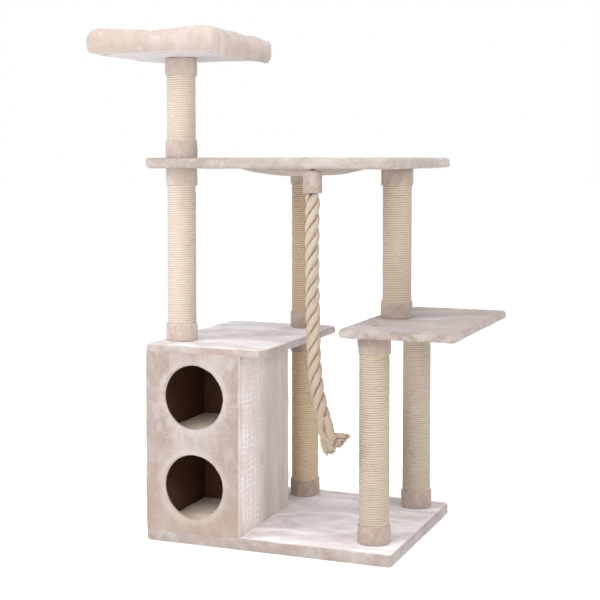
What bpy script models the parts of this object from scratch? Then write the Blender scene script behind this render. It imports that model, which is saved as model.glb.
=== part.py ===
"""Cat tree: base, two-room condo, landing board, side platform, top platform with a hollow,
seven sisal posts, a bed on top and a hanging play rope.

Metres, +Z up, front faces -Y. Every piece is placed from the base's front left bottom corner,
and one empty moves them all so that the origin is the bottom centre of the whole tree's box.
"""
import math

import bmesh
import bpy
from mathutils import Vector

# ---- fits and stock ----
GAP = 0.0003                 # clearance between pieces that touch
PLUSH = 0.003                # plush fabric with its backing
PANEL = 0.012                # condo panels and shelf
ROUND_STEPS = 16             # sides of posts and collars
SMALL_STEPS = 8              # sides of bolts and their holes
CURVE_STEPS = 10             # points read off between two points of a route
PAST = 0.01                  # how far a cutter runs past what it cuts
RIM = 0.006                  # rounding of a covered board's edges
SHARP_CORNER = 0.002         # smallest corner radius inside a cover

# ---- levels, from the floor up ----
BASE_TOP = 0.035
CONDO_HEIGHT = 0.480
BOARD = 0.023                # landing and side platform, plush included
POST_HEIGHT = 0.475          # the two posts between landing board and top platform
TOP_BOARD = 0.028
UPPER_POST_HEIGHT = 0.273
SIDE_POST_HEIGHT = 0.546
BED_HEIGHT = 0.070

LANDING_BOTTOM = BASE_TOP + CONDO_HEIGHT
LANDING_TOP = LANDING_BOTTOM + BOARD
TOP_BOTTOM = LANDING_TOP + POST_HEIGHT
TOP_TOP = TOP_BOTTOM + TOP_BOARD
BED_BOTTOM = TOP_TOP + UPPER_POST_HEIGHT
SIDE_BOTTOM = BASE_TOP + SIDE_POST_HEIGHT
SIDE_TOP = SIDE_BOTTOM + BOARD

# ---- plan sizes; corner radii go front left, front right, rear right, rear left ----
BASE_WIDTH, BASE_DEPTH = 0.700, 0.560
BASE_CORNERS = (0.010, 0.012, 0.014, 0.012)
CONDO_WIDTH, CONDO_DEPTH = 0.277, 0.355
LANDING_WIDTH = 0.350
LANDING_CORNERS = (0.010, 0.030, 0.018, 0.012)
TOP_CORNERS = (0.014, 0.014, 0.014, 0.014)
SIDE_LEFT, SIDE_RIGHT, SIDE_DEPTH = 0.553, 0.864, 0.570
SIDE_CORNERS = (0.014, 0.018, 0.016, 0.014)
BED_WIDTH, BED_DEPTH, BED_CORNER = 0.410, 0.430, 0.090
BED_CENTRE = (0.065, 0.106)
BED_INNER_CORNER = 0.012     # smallest corner radius of the nest's inside
BED_BOARD_INSET, BED_BOARD, BED_TURN_IN = 0.040, 0.015, 0.020
# the nest's bolster as (inset from the outer edge, height above the underside)
BOLSTER_PROFILE = ((BED_BOARD_INSET, 0.0), (0.022, 0.001), (0.006, 0.012), (0.0, 0.034), (0.007, 0.056),
                   (0.022, 0.067), (0.042, BED_HEIGHT), (0.062, 0.064), (0.075, 0.050), (0.084, 0.036))
HEM = 0.045                  # plush turned under the base

# ---- post centres ----
LEFT_POST = (0.060, 0.104)
REAR_POST = (0.272, 0.497)
RIGHT_POST = (0.622, 0.289)
RIGHT_FRONT_POST = (0.622, 0.094)
RIGHT_REAR_POST = (0.622, 0.484)

# ---- post section ----
TUBE_RADIUS, TUBE_WALL, PLUG = 0.034, 0.004, 0.020
SISAL_RADIUS = 0.040
COLLAR_RADIUS, COLLAR_HEIGHT = 0.043, 0.048

# ---- fasteners ----
SHANK_RADIUS, HOLE_RADIUS = 0.0039, 0.0046
HEAD_RADIUS, HEAD_HEIGHT, SINK_RADIUS, SINK = 0.009, 0.0045, 0.0105, 0.006
BITE = 0.023                 # length of a bolt inside a post

# ---- condo ----
DOOR_RADIUS = 0.0875
DOOR_X, LOWER_DOOR_Z, UPPER_DOOR_Z = 0.142, 0.157, 0.399
SHELF_TOP = 0.288
DOOR_STEPS = 28
CONDO_CORNER = 0.006

# ---- hollow in the top platform ----
HOLLOW_HALF_WIDTH, HOLLOW_HALF_DEPTH = 0.190, 0.155
HOLLOW_STEPS = 32
HOLLOW_LIP = 0.012           # share of the half axes that the sheet's back stands outside its face
# the lying surface as (share of the half axes, depth below the platform's top)
HOLLOW_PROFILE = ((0.985, 0.001), (0.975, 0.013), (0.940, 0.027), (0.760, 0.035), (0.500, 0.0435),
                  (0.250, 0.046))

# ---- rope ----
ROPE_RADIUS = 0.0185
SLEEVE_RADIUS, SLEEVE_EDGE = 0.0245, 0.006
SLEEVE_TAB, SLEEVE_TAB_WIDTH, SLEEVE_TAB_ROOT = 0.004, 0.030, 0.002
SLEEVE_CENTRE = 0.0005       # radius of the closed ends' middle faces
ROPE_FIT, ROPE_HEADROOM = 0.0007, 0.0012
ROPE_X, ROPE_Y = 0.474, 0.030
SLEEVE_BOTTOM = 0.950
ROPE_SWING = math.radians(45)
ROPE_PIVOT_Z = SLEEVE_BOTTOM - ROPE_RADIUS * math.tan(ROPE_SWING / 2) - 0.001
# the rounding above the rope's pivot as (share of its radius, rise as a share of its radius)
ROPE_DOME = ((0.15, 0.99), (0.5, 0.866), (0.8, 0.6))
# the rope's own points, from its pivot down to its end knot
ROPE_ROUTE = (
    (0.4740, 0.0300, 0.9410), (0.4735, 0.0300, 0.9000), (0.4730, 0.0300, 0.8500),
    (0.4730, 0.0300, 0.8000), (0.4732, 0.0300, 0.7500), (0.4738, 0.0300, 0.7000),
    (0.4745, 0.0300, 0.6500), (0.4756, 0.0295, 0.6000), (0.4775, 0.0285, 0.5500),
    (0.4805, 0.0270, 0.5050), (0.4855, 0.0250, 0.4650), (0.4930, 0.0230, 0.4250),
    (0.5015, 0.0215, 0.3920), (0.5110, 0.0200, 0.3620),
)
ROPE_STEP = 0.050            # spacing of the tube's rings
# the knot as (distance past the rope's end, half width, half depth)
KNOT_PROFILE = (
    (0.000, 0.015, 0.013), (0.014, 0.024, 0.017), (0.036, 0.028, 0.018), (0.060, 0.029, 0.018),
    (0.074, 0.021, 0.014), (0.084, 0.011, 0.009),
)
KNOT_STEPS = 12

# ---- whole tree's box, which sets the origin ----
BOX_LEFT = BED_CENTRE[0] - BED_WIDTH / 2
BOX_FRONT = BED_CENTRE[1] - BED_DEPTH / 2
ORIGIN = ((BOX_LEFT + SIDE_RIGHT) / 2, (BOX_FRONT + SIDE_DEPTH) / 2)


def clear_scene():
    for obj in list(bpy.data.objects):
        bpy.data.objects.remove(obj, do_unlink=True)


def material(name, colour, roughness, metallic=0.0):
    """A Principled material of one colour."""
    made = bpy.data.materials.new(name)
    made.use_nodes = True
    shader = made.node_tree.nodes["Principled BSDF"]
    shader.inputs["Base Color"].default_value = (*colour, 1.0)
    shader.inputs["Roughness"].default_value = roughness
    shader.inputs["Metallic"].default_value = metallic
    return made


def add_object(name, bm, finish, at=(0.0, 0.0, 0.0), smooth=False):
    """Turn a bmesh into a named object under the tree's empty, and free it."""
    bmesh.ops.recalc_face_normals(bm, faces=bm.faces)
    mesh = bpy.data.meshes.new(name)
    bm.to_mesh(mesh)
    bm.free()
    if smooth:
        mesh.shade_smooth()
        mesh.set_sharp_from_angle(angle=math.radians(40))
    mesh.materials.append(finish)
    obj = bpy.data.objects.new(name, mesh)
    bpy.context.scene.collection.objects.link(obj)
    obj.parent = TREE
    obj.location = at
    return obj


def cut(obj, cutter):
    """Subtract a cutter, which stays in the scene as a wire guide."""
    cutter.hide_render = True
    cutter.display_type = 'WIRE'
    modifier = obj.modifiers.new("cut_" + cutter.name, 'BOOLEAN')
    modifier.operation = 'DIFFERENCE'
    modifier.solver = 'EXACT'
    modifier.object = cutter


def loft(rings, closed=False):
    """Skin a list of rings with equal point counts; cap the ends, or close first to last."""
    bm = bmesh.new()
    loops = [[bm.verts.new(point) for point in ring] for ring in rings]
    count = len(loops[0])
    pairs = list(zip(loops, loops[1:]))
    if closed:
        pairs.append((loops[-1], loops[0]))
    for low, high in pairs:
        for i in range(count):
            j = (i + 1) % count
            bm.faces.new((low[i], low[j], high[j], high[i]))
    if not closed:
        bm.faces.new(list(reversed(loops[0])))
        bm.faces.new(loops[-1])
    return bm


def circle(radius, z, steps, x=0.0, y=0.0):
    turn = 2 * math.pi / steps
    return [(x + radius * math.cos(i * turn), y + radius * math.sin(i * turn), z)
            for i in range(steps)]


def ellipse(half_x, half_y, z, steps):
    turn = 2 * math.pi / steps
    return [(half_x * math.cos(i * turn), half_y * math.sin(i * turn), z) for i in range(steps)]


def outline(x0, y0, x1, y1, radii, steps=4):
    """Rectangle with rounded corners: radii go front left, front right, rear right, rear left."""
    corners = ((x0, y0, 1, 1, 180), (x1, y0, -1, 1, 270), (x1, y1, -1, -1, 0), (x0, y1, 1, -1, 90))
    points = []
    for (x, y, sx, sy, start), radius in zip(corners, radii):
        for i in range(steps + 1):
            angle = math.radians(start + 90 * i / steps)
            points.append((x + sx * radius + radius * math.cos(angle),
                           y + sy * radius + radius * math.sin(angle)))
    return points


def prism(points, z0, z1):
    return loft([[(x, y, z) for x, y in points] for z in (z0, z1)])


def box(x0, y0, z0, x1, y1, z1):
    return prism([(x0, y0), (x1, y0), (x1, y1), (x0, y1)], z0, z1)


def pipe(outer, inner, z0, z1, steps):
    """Hollow cylinder about the local Z axis."""
    return loft([circle(outer, z0, steps), circle(outer, z1, steps),
                 circle(inner, z1, steps), circle(inner, z0, steps)], closed=True)


# ---- fasteners ----

def fastener_cutter(name, place, z0, z1, head):
    """Bolt hole through a board from z0 to z1, with a sink for the head on one side."""
    rings = [circle(HOLE_RADIUS, z0 - PAST, SMALL_STEPS), circle(HOLE_RADIUS, z1 + PAST, SMALL_STEPS)]
    if head == "below":
        step = z0 + PLUSH + SINK
        rings[:1] = [circle(SINK_RADIUS, z0 - PAST, SMALL_STEPS), circle(SINK_RADIUS, step, SMALL_STEPS),
                     circle(HOLE_RADIUS, step, SMALL_STEPS)]
    if head == "above":
        step = z1 - PLUSH - SINK
        rings[1:] = [circle(HOLE_RADIUS, step, SMALL_STEPS), circle(SINK_RADIUS, step, SMALL_STEPS),
                     circle(SINK_RADIUS, z1 + PAST, SMALL_STEPS)]
    return add_object(name, loft(rings), STEEL, (place[0], place[1], 0.0))


def bolt(name, place, z0, z1, head):
    """Round-headed bolt that goes through a board into a post's plug."""
    if head == "below":
        seat, tip, side = z0 + PLUSH + SINK - GAP, z1 + BITE, -1
    else:
        seat, tip, side = z1 - PLUSH - SINK + GAP, z0 - BITE, 1
    rings = [circle(SHANK_RADIUS, tip, SMALL_STEPS), circle(SHANK_RADIUS, seat, SMALL_STEPS),
             circle(HEAD_RADIUS, seat, SMALL_STEPS),
             circle(HEAD_RADIUS, seat + side * HEAD_HEIGHT, SMALL_STEPS)]
    add_object(name, loft(rings), STEEL, (place[0], place[1], 0.0))


def stud(name, place, z0, z1):
    """Threaded rod that joins the post below a board to the post above it."""
    rings = [circle(SHANK_RADIUS, z0 - BITE, SMALL_STEPS), circle(SHANK_RADIUS, z1 + BITE, SMALL_STEPS)]
    add_object(name, loft(rings), STEEL, (place[0], place[1], 0.0))


# ---- plush-covered boards ----

def covered_board(name, x0, y0, x1, y1, z0, z1, radii, fasteners, hem=None):
    """Chipboard and the plush wrapped round it, drilled for its fasteners."""
    def inset(by):
        return outline(x0 + by, y0 + by, x1 - by, y1 - by, [max(r - by, SHARP_CORNER) for r in radii])

    board = add_object(name + "_board", prism(inset(PLUSH), z0 + PLUSH, z1 - PLUSH), CHIPBOARD)
    cover = add_object(name + "_cover", prism(inset(0.0), z0, z1), PLUSH_CREAM)
    rounding = cover.modifiers.new("rounded rim", 'BEVEL')
    rounding.limit_method = 'ANGLE'
    rounding.angle_limit = math.radians(60)
    rounding.width = RIM
    rounding.segments = 2
    fit = PLUSH - GAP
    space = add_object(name + "_board_space", prism(inset(fit), z0 + fit, z1 - fit), CHIPBOARD)
    cut(cover, space)
    if hem is not None:
        cut(cover, add_object(name + "_hem_opening", prism(inset(hem), z0 - PAST, z0 + PAST), CHIPBOARD))
    for label, place, head in fasteners:
        drill = fastener_cutter("drill_" + name + "_" + label, place, z0, z1, head)
        cut(board, drill)
        cut(cover, drill)
        if head == "through":
            stud("stud_" + label, place, z0, z1)
        else:
            bolt("bolt_" + name + "_" + label, place, z0, z1, head)
    return board, cover


def build_base():
    covered_board("base", 0.0, 0.0, BASE_WIDTH, BASE_DEPTH, 0.0, BASE_TOP, BASE_CORNERS,
                  [("rear_post", REAR_POST, "below"), ("right_front_post", RIGHT_FRONT_POST, "below"),
                   ("right_rear_post", RIGHT_REAR_POST, "below")], hem=HEM)


def build_landing():
    covered_board("landing", 0.0, 0.0, LANDING_WIDTH, BASE_DEPTH, LANDING_BOTTOM, LANDING_TOP,
                  LANDING_CORNERS,
                  [("left_post", LEFT_POST, "below"), ("rear_post", REAR_POST, "through")])


def build_side_platform():
    covered_board("side_platform", SIDE_LEFT, 0.0, SIDE_RIGHT, SIDE_DEPTH, SIDE_BOTTOM, SIDE_TOP,
                  SIDE_CORNERS,
                  [("front_post", RIGHT_FRONT_POST, "above"), ("rear_post", RIGHT_REAR_POST, "above"),
                   ("upper_post", RIGHT_POST, "below")])


def build_top_platform():
    """The board and its cover have an oval cut-out, which the hollow's plush sheet hangs in."""
    board, cover = covered_board("top_platform", 0.0, 0.0, BASE_WIDTH, BASE_DEPTH, TOP_BOTTOM, TOP_TOP,
                                 TOP_CORNERS,
                                 [("left_post", LEFT_POST, "through"), ("rear_post", REAR_POST, "above"),
                                  ("right_post", RIGHT_POST, "above")])
    centre = (BASE_WIDTH / 2, BASE_DEPTH / 2, 0.0)
    for target, label, extra in ((board, "board", PLUSH), (cover, "cover", 0.0)):
        rim = [ellipse(HOLLOW_HALF_WIDTH + extra, HOLLOW_HALF_DEPTH + extra, z, HOLLOW_STEPS)
               for z in (TOP_BOTTOM - PAST, TOP_TOP + PAST)]
        cut(target, add_object("oval_" + label, loft(rim), CHIPBOARD, centre))
    loops = [ellipse(share * HOLLOW_HALF_WIDTH, share * HOLLOW_HALF_DEPTH, TOP_TOP - depth, HOLLOW_STEPS)
             for share, depth in [(share + HOLLOW_LIP, depth + PLUSH)
                                  for share, depth in reversed(HOLLOW_PROFILE)] + list(HOLLOW_PROFILE)]
    add_object("platform_hollow", loft(loops), PLUSH_CREAM, centre, smooth=True)


# ---- condo ----

def door_cutter(name, radius, z):
    rings = [[(x, y, h) for x, h, y in circle(radius, depth, DOOR_STEPS, DOOR_X, z)]
             for depth in (-PAST, PLUSH + PANEL + PAST)]
    return add_object(name, loft(rings), CHIPBOARD)


def build_condo():
    z0, z1 = BASE_TOP + GAP, LANDING_BOTTOM - GAP
    skin = PLUSH + GAP
    inner = skin + PANEL
    right, rear = CONDO_WIDTH, CONDO_DEPTH
    outer = outline(0.0, 0.0, right, rear, [CONDO_CORNER] * 4, 2)
    cover = add_object("condo_cover", prism(outer, z0, z1), PLUSH_CREAM)
    room = box(PLUSH, PLUSH, z0 - PAST, right - PLUSH, rear - PLUSH, z1 + PAST)
    cut(cover, add_object("condo_cover_space", room, CHIPBOARD))
    front = add_object("condo_front", box(skin, skin, z0, right - skin, inner, z1), CHIPBOARD)
    add_object("condo_back", box(skin, rear - inner, z0, right - skin, rear - skin, z1), CHIPBOARD)
    side_front, side_rear = inner + GAP, rear - inner - GAP
    add_object("condo_left", box(skin, side_front, z0, inner, side_rear, z1), CHIPBOARD)
    add_object("condo_right", box(right - inner, side_front, z0, right - skin, side_rear, z1), CHIPBOARD)
    shelf = box(inner + GAP, side_front, SHELF_TOP - PANEL, right - inner - GAP, side_rear, SHELF_TOP)
    add_object("condo_shelf", shelf, CHIPBOARD)
    for label, z in (("lower", LOWER_DOOR_Z), ("upper", UPPER_DOOR_Z)):
        cut(front, door_cutter("door_front_" + label, DOOR_RADIUS + GAP, z))
        cut(cover, door_cutter("door_cover_" + label, DOOR_RADIUS, z))


# ---- posts ----

def build_post(name, place, z0, z1):
    """Cardboard tube with a drilled plug glued in each end, sisal winding and two plush collars."""
    low, high = z0 + GAP, z1 - GAP
    at = (place[0], place[1], 0.0)
    bore = TUBE_RADIUS - TUBE_WALL
    profile = ((TUBE_RADIUS, low), (TUBE_RADIUS, high), (HOLE_RADIUS, high), (HOLE_RADIUS, high - PLUG),
               (bore, high - PLUG), (bore, low + PLUG), (HOLE_RADIUS, low + PLUG), (HOLE_RADIUS, low))
    tube = loft([circle(radius, z, ROUND_STEPS) for radius, z in profile], closed=True)
    add_object(name + "_tube", tube, CARDBOARD, at, smooth=True)
    inside = TUBE_RADIUS + GAP
    winding = pipe(SISAL_RADIUS, inside, low + COLLAR_HEIGHT + GAP, high - COLLAR_HEIGHT - GAP, ROUND_STEPS)
    add_object(name + "_sisal", winding, SISAL, at, smooth=True)
    for label, bottom in (("collar_low", low), ("collar_top", high - COLLAR_HEIGHT)):
        collar = pipe(COLLAR_RADIUS, inside, bottom, bottom + COLLAR_HEIGHT, ROUND_STEPS)
        add_object(name + "_" + label, collar, PLUSH_CREAM, at, smooth=True)


def build_posts():
    build_post("left_post", LEFT_POST, LANDING_TOP, TOP_BOTTOM)
    build_post("left_upper_post", LEFT_POST, TOP_TOP, BED_BOTTOM)
    build_post("rear_post", REAR_POST, BASE_TOP, LANDING_BOTTOM)
    build_post("rear_upper_post", REAR_POST, LANDING_TOP, TOP_BOTTOM)
    build_post("right_front_post", RIGHT_FRONT_POST, BASE_TOP, SIDE_BOTTOM)
    build_post("right_rear_post", RIGHT_REAR_POST, BASE_TOP, SIDE_BOTTOM)
    build_post("right_upper_post", RIGHT_POST, SIDE_TOP, TOP_BOTTOM)


# ---- bed ----

def build_bed():
    """A board bolted to the post, and a sewn nest whose bolster wraps the board's edge."""
    x, y = BED_CENTRE

    def loop(inset, z, steps=5):
        radius = max(BED_CORNER - inset, BED_INNER_CORNER)
        plan = outline(inset - BED_WIDTH / 2, inset - BED_DEPTH / 2, BED_WIDTH / 2 - inset,
                       BED_DEPTH / 2 - inset, [radius] * 4, steps)
        return [(px, py, BED_BOTTOM + z) for px, py in plan]

    edge = BED_BOARD_INSET + GAP
    board = add_object("bed_board", loft([loop(edge, 0.0), loop(edge, BED_BOARD)]), CHIPBOARD, (x, y, 0.0))
    seat = BED_BOTTOM + BED_BOARD
    hole = add_object("drill_bed", loft([circle(HOLE_RADIUS, BED_BOTTOM - PAST, SMALL_STEPS),
                                         circle(HOLE_RADIUS, seat - HEAD_HEIGHT - GAP, SMALL_STEPS),
                                         circle(SINK_RADIUS, seat - HEAD_HEIGHT - GAP, SMALL_STEPS),
                                         circle(SINK_RADIUS, seat + PAST, SMALL_STEPS)]),
                      STEEL, (LEFT_POST[0], LEFT_POST[1], 0.0))
    cut(board, hole)
    rings = [circle(SHANK_RADIUS, BED_BOTTOM - BITE, SMALL_STEPS),
             circle(SHANK_RADIUS, seat - HEAD_HEIGHT, SMALL_STEPS),
             circle(HEAD_RADIUS, seat - HEAD_HEIGHT, SMALL_STEPS), circle(HEAD_RADIUS, seat, SMALL_STEPS)]
    add_object("bolt_bed", loft(rings), STEEL, (LEFT_POST[0], LEFT_POST[1], 0.0))
    turn_in = ((BED_BOARD_INSET + BED_TURN_IN, BED_BOARD + GAP), (BED_BOARD_INSET, BED_BOARD + GAP))
    nest = loft([loop(*point) for point in turn_in + BOLSTER_PROFILE])
    add_object("bed_nest", nest, PLUSH_CREAM, (x, y, 0.0), smooth=True)


# ---- rope ----

def smooth_route(points, spacing):
    """Read a Catmull-Rom curve through the points at an even spacing."""
    padded = [points[0]] + list(points) + [points[-1]]
    fine = []
    for i in range(len(points) - 1):
        p0, p1, p2, p3 = padded[i:i + 4]
        for step in range(CURVE_STEPS):
            t = step / CURVE_STEPS
            fine.append(tuple(0.5 * (2 * b + (c - a) * t + (2 * a - 5 * b + 4 * c - d) * t * t
                                     + (3 * b - a - 3 * c + d) * t ** 3)
                              for a, b, c, d in zip(p0, p1, p2, p3)))
    fine.append(tuple(points[-1]))
    total = sum(math.dist(a, b) for a, b in zip(fine, fine[1:]))
    count = max(2, round(total / spacing))
    even, walked, wanted = [fine[0]], 0.0, total / count
    for a, b in zip(fine, fine[1:]):
        length = math.dist(a, b)
        while wanted <= walked + length and len(even) < count:
            t = (wanted - walked) / length
            even.append(tuple(p + (q - p) * t for p, q in zip(a, b)))
            wanted += total / count
        walked += length
    return even + [fine[-1]]


def build_sleeve():
    """Plush sleeve on a stapled tab; its bore holds the rope's rounded top end."""
    top = TOP_BOTTOM - SLEEVE_TAB
    bore, roof = ROPE_RADIUS + ROPE_FIT, ROPE_PIVOT_Z + ROPE_RADIUS + ROPE_HEADROOM
    profile = ((SLEEVE_CENTRE, top), (SLEEVE_RADIUS - SLEEVE_EDGE, top), (SLEEVE_RADIUS, top - SLEEVE_EDGE),
               (SLEEVE_RADIUS, SLEEVE_BOTTOM), (bore, SLEEVE_BOTTOM), (bore, roof), (SLEEVE_CENTRE, roof))
    body = loft([circle(radius, z, ROUND_STEPS) for radius, z in profile])
    sleeve = add_object("rope_sleeve", body, PLUSH_CREAM, (ROPE_X, ROPE_Y, 0.0), smooth=True)
    half = SLEEVE_TAB / 2 - GAP
    tab_rings = []
    for y in (-SLEEVE_TAB_WIDTH / 2, SLEEVE_TAB_WIDTH / 2):
        arch = [(half * math.cos(a), y, TOP_BOTTOM - SLEEVE_TAB / 2 + half * math.sin(a))
                for a in (math.radians(45 * k) for k in range(5))]
        root = top - SLEEVE_TAB_ROOT
        tab_rings.append(arch + [(-half, y, root), (half, y, root)])
    tab = add_object("sleeve_tab", loft(tab_rings), PLUSH_CREAM, (ROPE_X, ROPE_Y, 0.0))
    tab.hide_render = True
    tab.display_type = 'WIRE'
    joined = sleeve.modifiers.new("tab", 'BOOLEAN')
    joined.operation = 'UNION'
    joined.solver = 'EXACT'
    joined.object = tab


def build_rope():
    """A bevelled curve with a ball at its top, so that it can swing inside the sleeve."""
    curve = bpy.data.curves.new("rope", 'CURVE')
    curve.dimensions = '3D'
    curve.bevel_depth = ROPE_RADIUS
    curve.bevel_resolution = 3
    curve.use_fill_caps = True
    spline = curve.splines.new('POLY')
    points = smooth_route(ROPE_ROUTE, ROPE_STEP)
    start = ROPE_ROUTE[0]
    ball = [((start[0], start[1], start[2] + ROPE_RADIUS * rise), radius) for radius, rise in ROPE_DOME]
    points = ball + [(point, 1.0) for point in points]
    spline.points.add(len(points) - 1)
    for target, (point, radius) in zip(spline.points, points):
        target.co = (*point, 1.0)
        target.radius = radius
    curve.materials.append(ROPE_FIBRE)
    rope = bpy.data.objects.new("rope", curve)
    bpy.context.scene.collection.objects.link(rope)
    rope.parent = TREE


def build_knot():
    """Outer shape of the knot and its splayed tail, in line with the rope's end."""
    before, end = Vector(ROPE_ROUTE[-2]), Vector(ROPE_ROUTE[-1])
    rings = [ellipse(half_x, half_y, -depth - GAP, KNOT_STEPS) for depth, half_x, half_y in KNOT_PROFILE]
    knot = add_object("rope_knot", loft(rings), ROPE_FIBRE, end, smooth=True)
    knot.rotation_euler = (before - end).to_track_quat('Z', 'Y').to_euler()


clear_scene()
TREE = bpy.data.objects.new("tree", None)
bpy.context.scene.collection.objects.link(TREE)
TREE.location = (-ORIGIN[0], -ORIGIN[1], 0.0)

PLUSH_CREAM = material("plush", (0.76, 0.66, 0.58), 0.95)
CHIPBOARD = material("chipboard", (0.52, 0.38, 0.24), 0.85)
CARDBOARD = material("cardboard", (0.45, 0.34, 0.22), 0.9)
SISAL = material("sisal", (0.74, 0.63, 0.48), 0.9)
ROPE_FIBRE = material("rope_fibre", (0.66, 0.53, 0.40), 0.9)
STEEL = material("steel", (0.55, 0.55, 0.56), 0.35, 1.0)

build_base()
build_condo()
build_landing()
build_side_platform()
build_top_platform()
build_posts()
build_bed()
build_sleeve()
build_rope()
build_knot()
bpy.context.view_layer.update()
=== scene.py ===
"""Looks of the cat tree: plush pulled over boards, posts wound with sisal, a stuffed bed and a rope.

Everything is in metres in the CAD frame. Places come from the CAD nodes' boxes, except the rope's.
"""
import math

import bmesh
import bpy
import numpy as np
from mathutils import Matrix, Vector


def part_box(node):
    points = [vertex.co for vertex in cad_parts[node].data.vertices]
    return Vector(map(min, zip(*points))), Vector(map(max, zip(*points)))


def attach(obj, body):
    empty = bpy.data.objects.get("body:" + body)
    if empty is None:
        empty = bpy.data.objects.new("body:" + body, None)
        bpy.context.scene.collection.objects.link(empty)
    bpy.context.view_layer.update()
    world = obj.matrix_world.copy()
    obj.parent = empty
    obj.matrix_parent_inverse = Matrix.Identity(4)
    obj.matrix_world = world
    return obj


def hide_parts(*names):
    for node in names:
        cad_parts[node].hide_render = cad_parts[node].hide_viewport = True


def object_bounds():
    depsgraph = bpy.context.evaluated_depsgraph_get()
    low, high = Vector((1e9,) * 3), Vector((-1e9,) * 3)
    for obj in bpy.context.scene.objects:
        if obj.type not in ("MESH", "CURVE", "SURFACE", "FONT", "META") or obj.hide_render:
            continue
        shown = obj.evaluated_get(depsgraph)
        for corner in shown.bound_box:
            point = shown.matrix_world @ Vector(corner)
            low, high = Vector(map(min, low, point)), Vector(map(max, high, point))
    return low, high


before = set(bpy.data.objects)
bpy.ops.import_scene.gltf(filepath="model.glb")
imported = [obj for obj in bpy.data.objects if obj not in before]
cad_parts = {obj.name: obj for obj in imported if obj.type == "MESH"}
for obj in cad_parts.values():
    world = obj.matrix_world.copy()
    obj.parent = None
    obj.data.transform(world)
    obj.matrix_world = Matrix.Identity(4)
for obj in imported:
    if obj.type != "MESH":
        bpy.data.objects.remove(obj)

CAD_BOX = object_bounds()

# ---- camera ----
CAMERA_PLACE = (1.331, -3.3955, 1.043)
CAMERA_AZIMUTH = math.radians(21.43)
CAMERA_PITCH = math.radians(2.78)
CAMERA_LENS = 79.4
CAMERA_SHIFT = -0.131

# ---- light ----
SKY_LIGHT = 0.62             # the white sky's strength as a lamp; it looks white in the picture
FLOOR_GLOW = 0.76            # keeps the floor white far from the lamps
FLOOR_REACH = 40.0
# name, place, side in metres, power in watts
STUDIO_LAMPS = (("key", (-2.6, -3.0, 2.8), 1.6, 74), ("front", (0.2, -4.6, 1.4), 2.0, 52),
                ("right", (3.4, -1.4, 2.2), 2.4, 52), ("top", (0.2, -0.6, 4.0), 2.6, 62))

# ---- fabric and winding ----
RIM = 0.0085                 # rounding of a plush-covered board's edge
BOARD_STEP = 0.008           # spacing of points round a board's edge
HEM = 0.045                  # plush turned under the base
OVAL_LIP = 0.006             # rounding of the plush round the oval opening
SISAL_PITCH = 0.0063
WIND_SIDES = 36              # points in one turn of sisal
# one turn's shape as (share of the pitch, depth below the crest)
CORD_SHAPE = ((0.0, 0.0023), (0.2, 0.0005), (0.5, 0.0), (0.8, 0.0005))
TUCK = 0.0085                # sisal hidden under each collar
COLLAR_THICK, COLLAR_ROLL = 0.0085, 0.0022

# ---- condo ----
DOOR_RADIUS = 0.0875
DOOR_ROLL = 0.005            # plush rolled over a doorway's edge
DOOR_EDGE = DOOR_RADIUS - 0.0009    # the rolled plush hides the panel's own edge
PRESS = 0.0048               # how far the condo's plush is tucked past its ends, into the boards' rims
SIDE_HIGHLIGHT_BAND = (0.012, 0.165)     # stretch of the condo's side, from its front, that gets a painted highlight band over the crushed nap
CRUSH_CELL = (0.026, 0.0155) # spacing of the crushed marks along and up the side
# centres of the doorways, from the base's front left bottom corner
DOOR_X, LOWER_DOOR_Z, UPPER_DOOR_Z = 0.142, 0.157, 0.399
ROOM_LAMPS = (("lower room", LOWER_DOOR_Z, 0.11), ("upper room", UPPER_DOOR_Z, 0.06))    # power in watts
ROOM_LAMP_SIZE, ROOM_LAMP_SPREAD = 0.06, 95
ROOM_LAMP_Y, ROOM_AIM_Y = 0.11, 0.115       # from the base's front; the lamps point almost straight down
ROOM_LAMP_RISE = 0.006       # above the doorway's top edge
CONDO_CORNER = 0.007         # rounding of the condo's upright edges
CONDO_STEP = 0.0062          # spacing of points over the condo's plush
LINING_THICK = 0.0028
LINING_GAP = 0.0004          # between the lining and the walls and floor
LINING_STEPS = 40

# ---- hollow: (share of the half axes, depth below the platform's top) ----
HOLLOW_PROFILE = ((0.985, 0.001), (0.975, 0.013), (0.94, 0.027), (0.76, 0.035), (0.5, 0.0435),
                  (0.25, 0.046))
HOLLOW_HALF = (0.19, 0.155)
HOLLOW_BOTTOM = 0.0462
HOLLOW_CLOTH = 0.0028        # thickness of the slung sheet

# ---- bed ----
BED_CORNERS = (0.05, 0.062, 0.09, 0.09)      # front left, front right, rear right, rear left
# (inset from the outline, height above the underside) of a slightly smaller bed than the stuffed one
BED_SECTION = ((0.1, 0.0165), (0.043, 0.0165), (0.042, 0.004), (0.026, 0.002), (0.012, 0.006),
               (0.005, 0.016), (0.002, 0.03), (0.002, 0.046), (0.007, 0.057), (0.018, 0.0635),
               (0.034, 0.0655), (0.05, 0.062), (0.064, 0.052), (0.073, 0.04), (0.08, 0.032),
               (0.09, 0.033), (0.115, 0.035))
BED_VOXEL = 0.0058
BED_PRESSURE = 4.0
BED_SWELL = 0.0055           # the most that a point of the bed moves when it is stuffed
BED_FOOT = 0.018             # height below which the bed is sewn to its board and stays
BED_FRAMES = 20              # frames of the cloth simulation
BOARD_CORNER = 0.05          # corners of the board under the bed
BOARD_RIM = 0.006            # rounding of its plush

# ---- rope ----
ROPE_RADIUS = 0.0185
ROPE_LAY = 0.117             # length in which a strand goes once round
STRAND_RADIUS, STRAND_OFFSET = 0.0096, 0.0091
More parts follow.
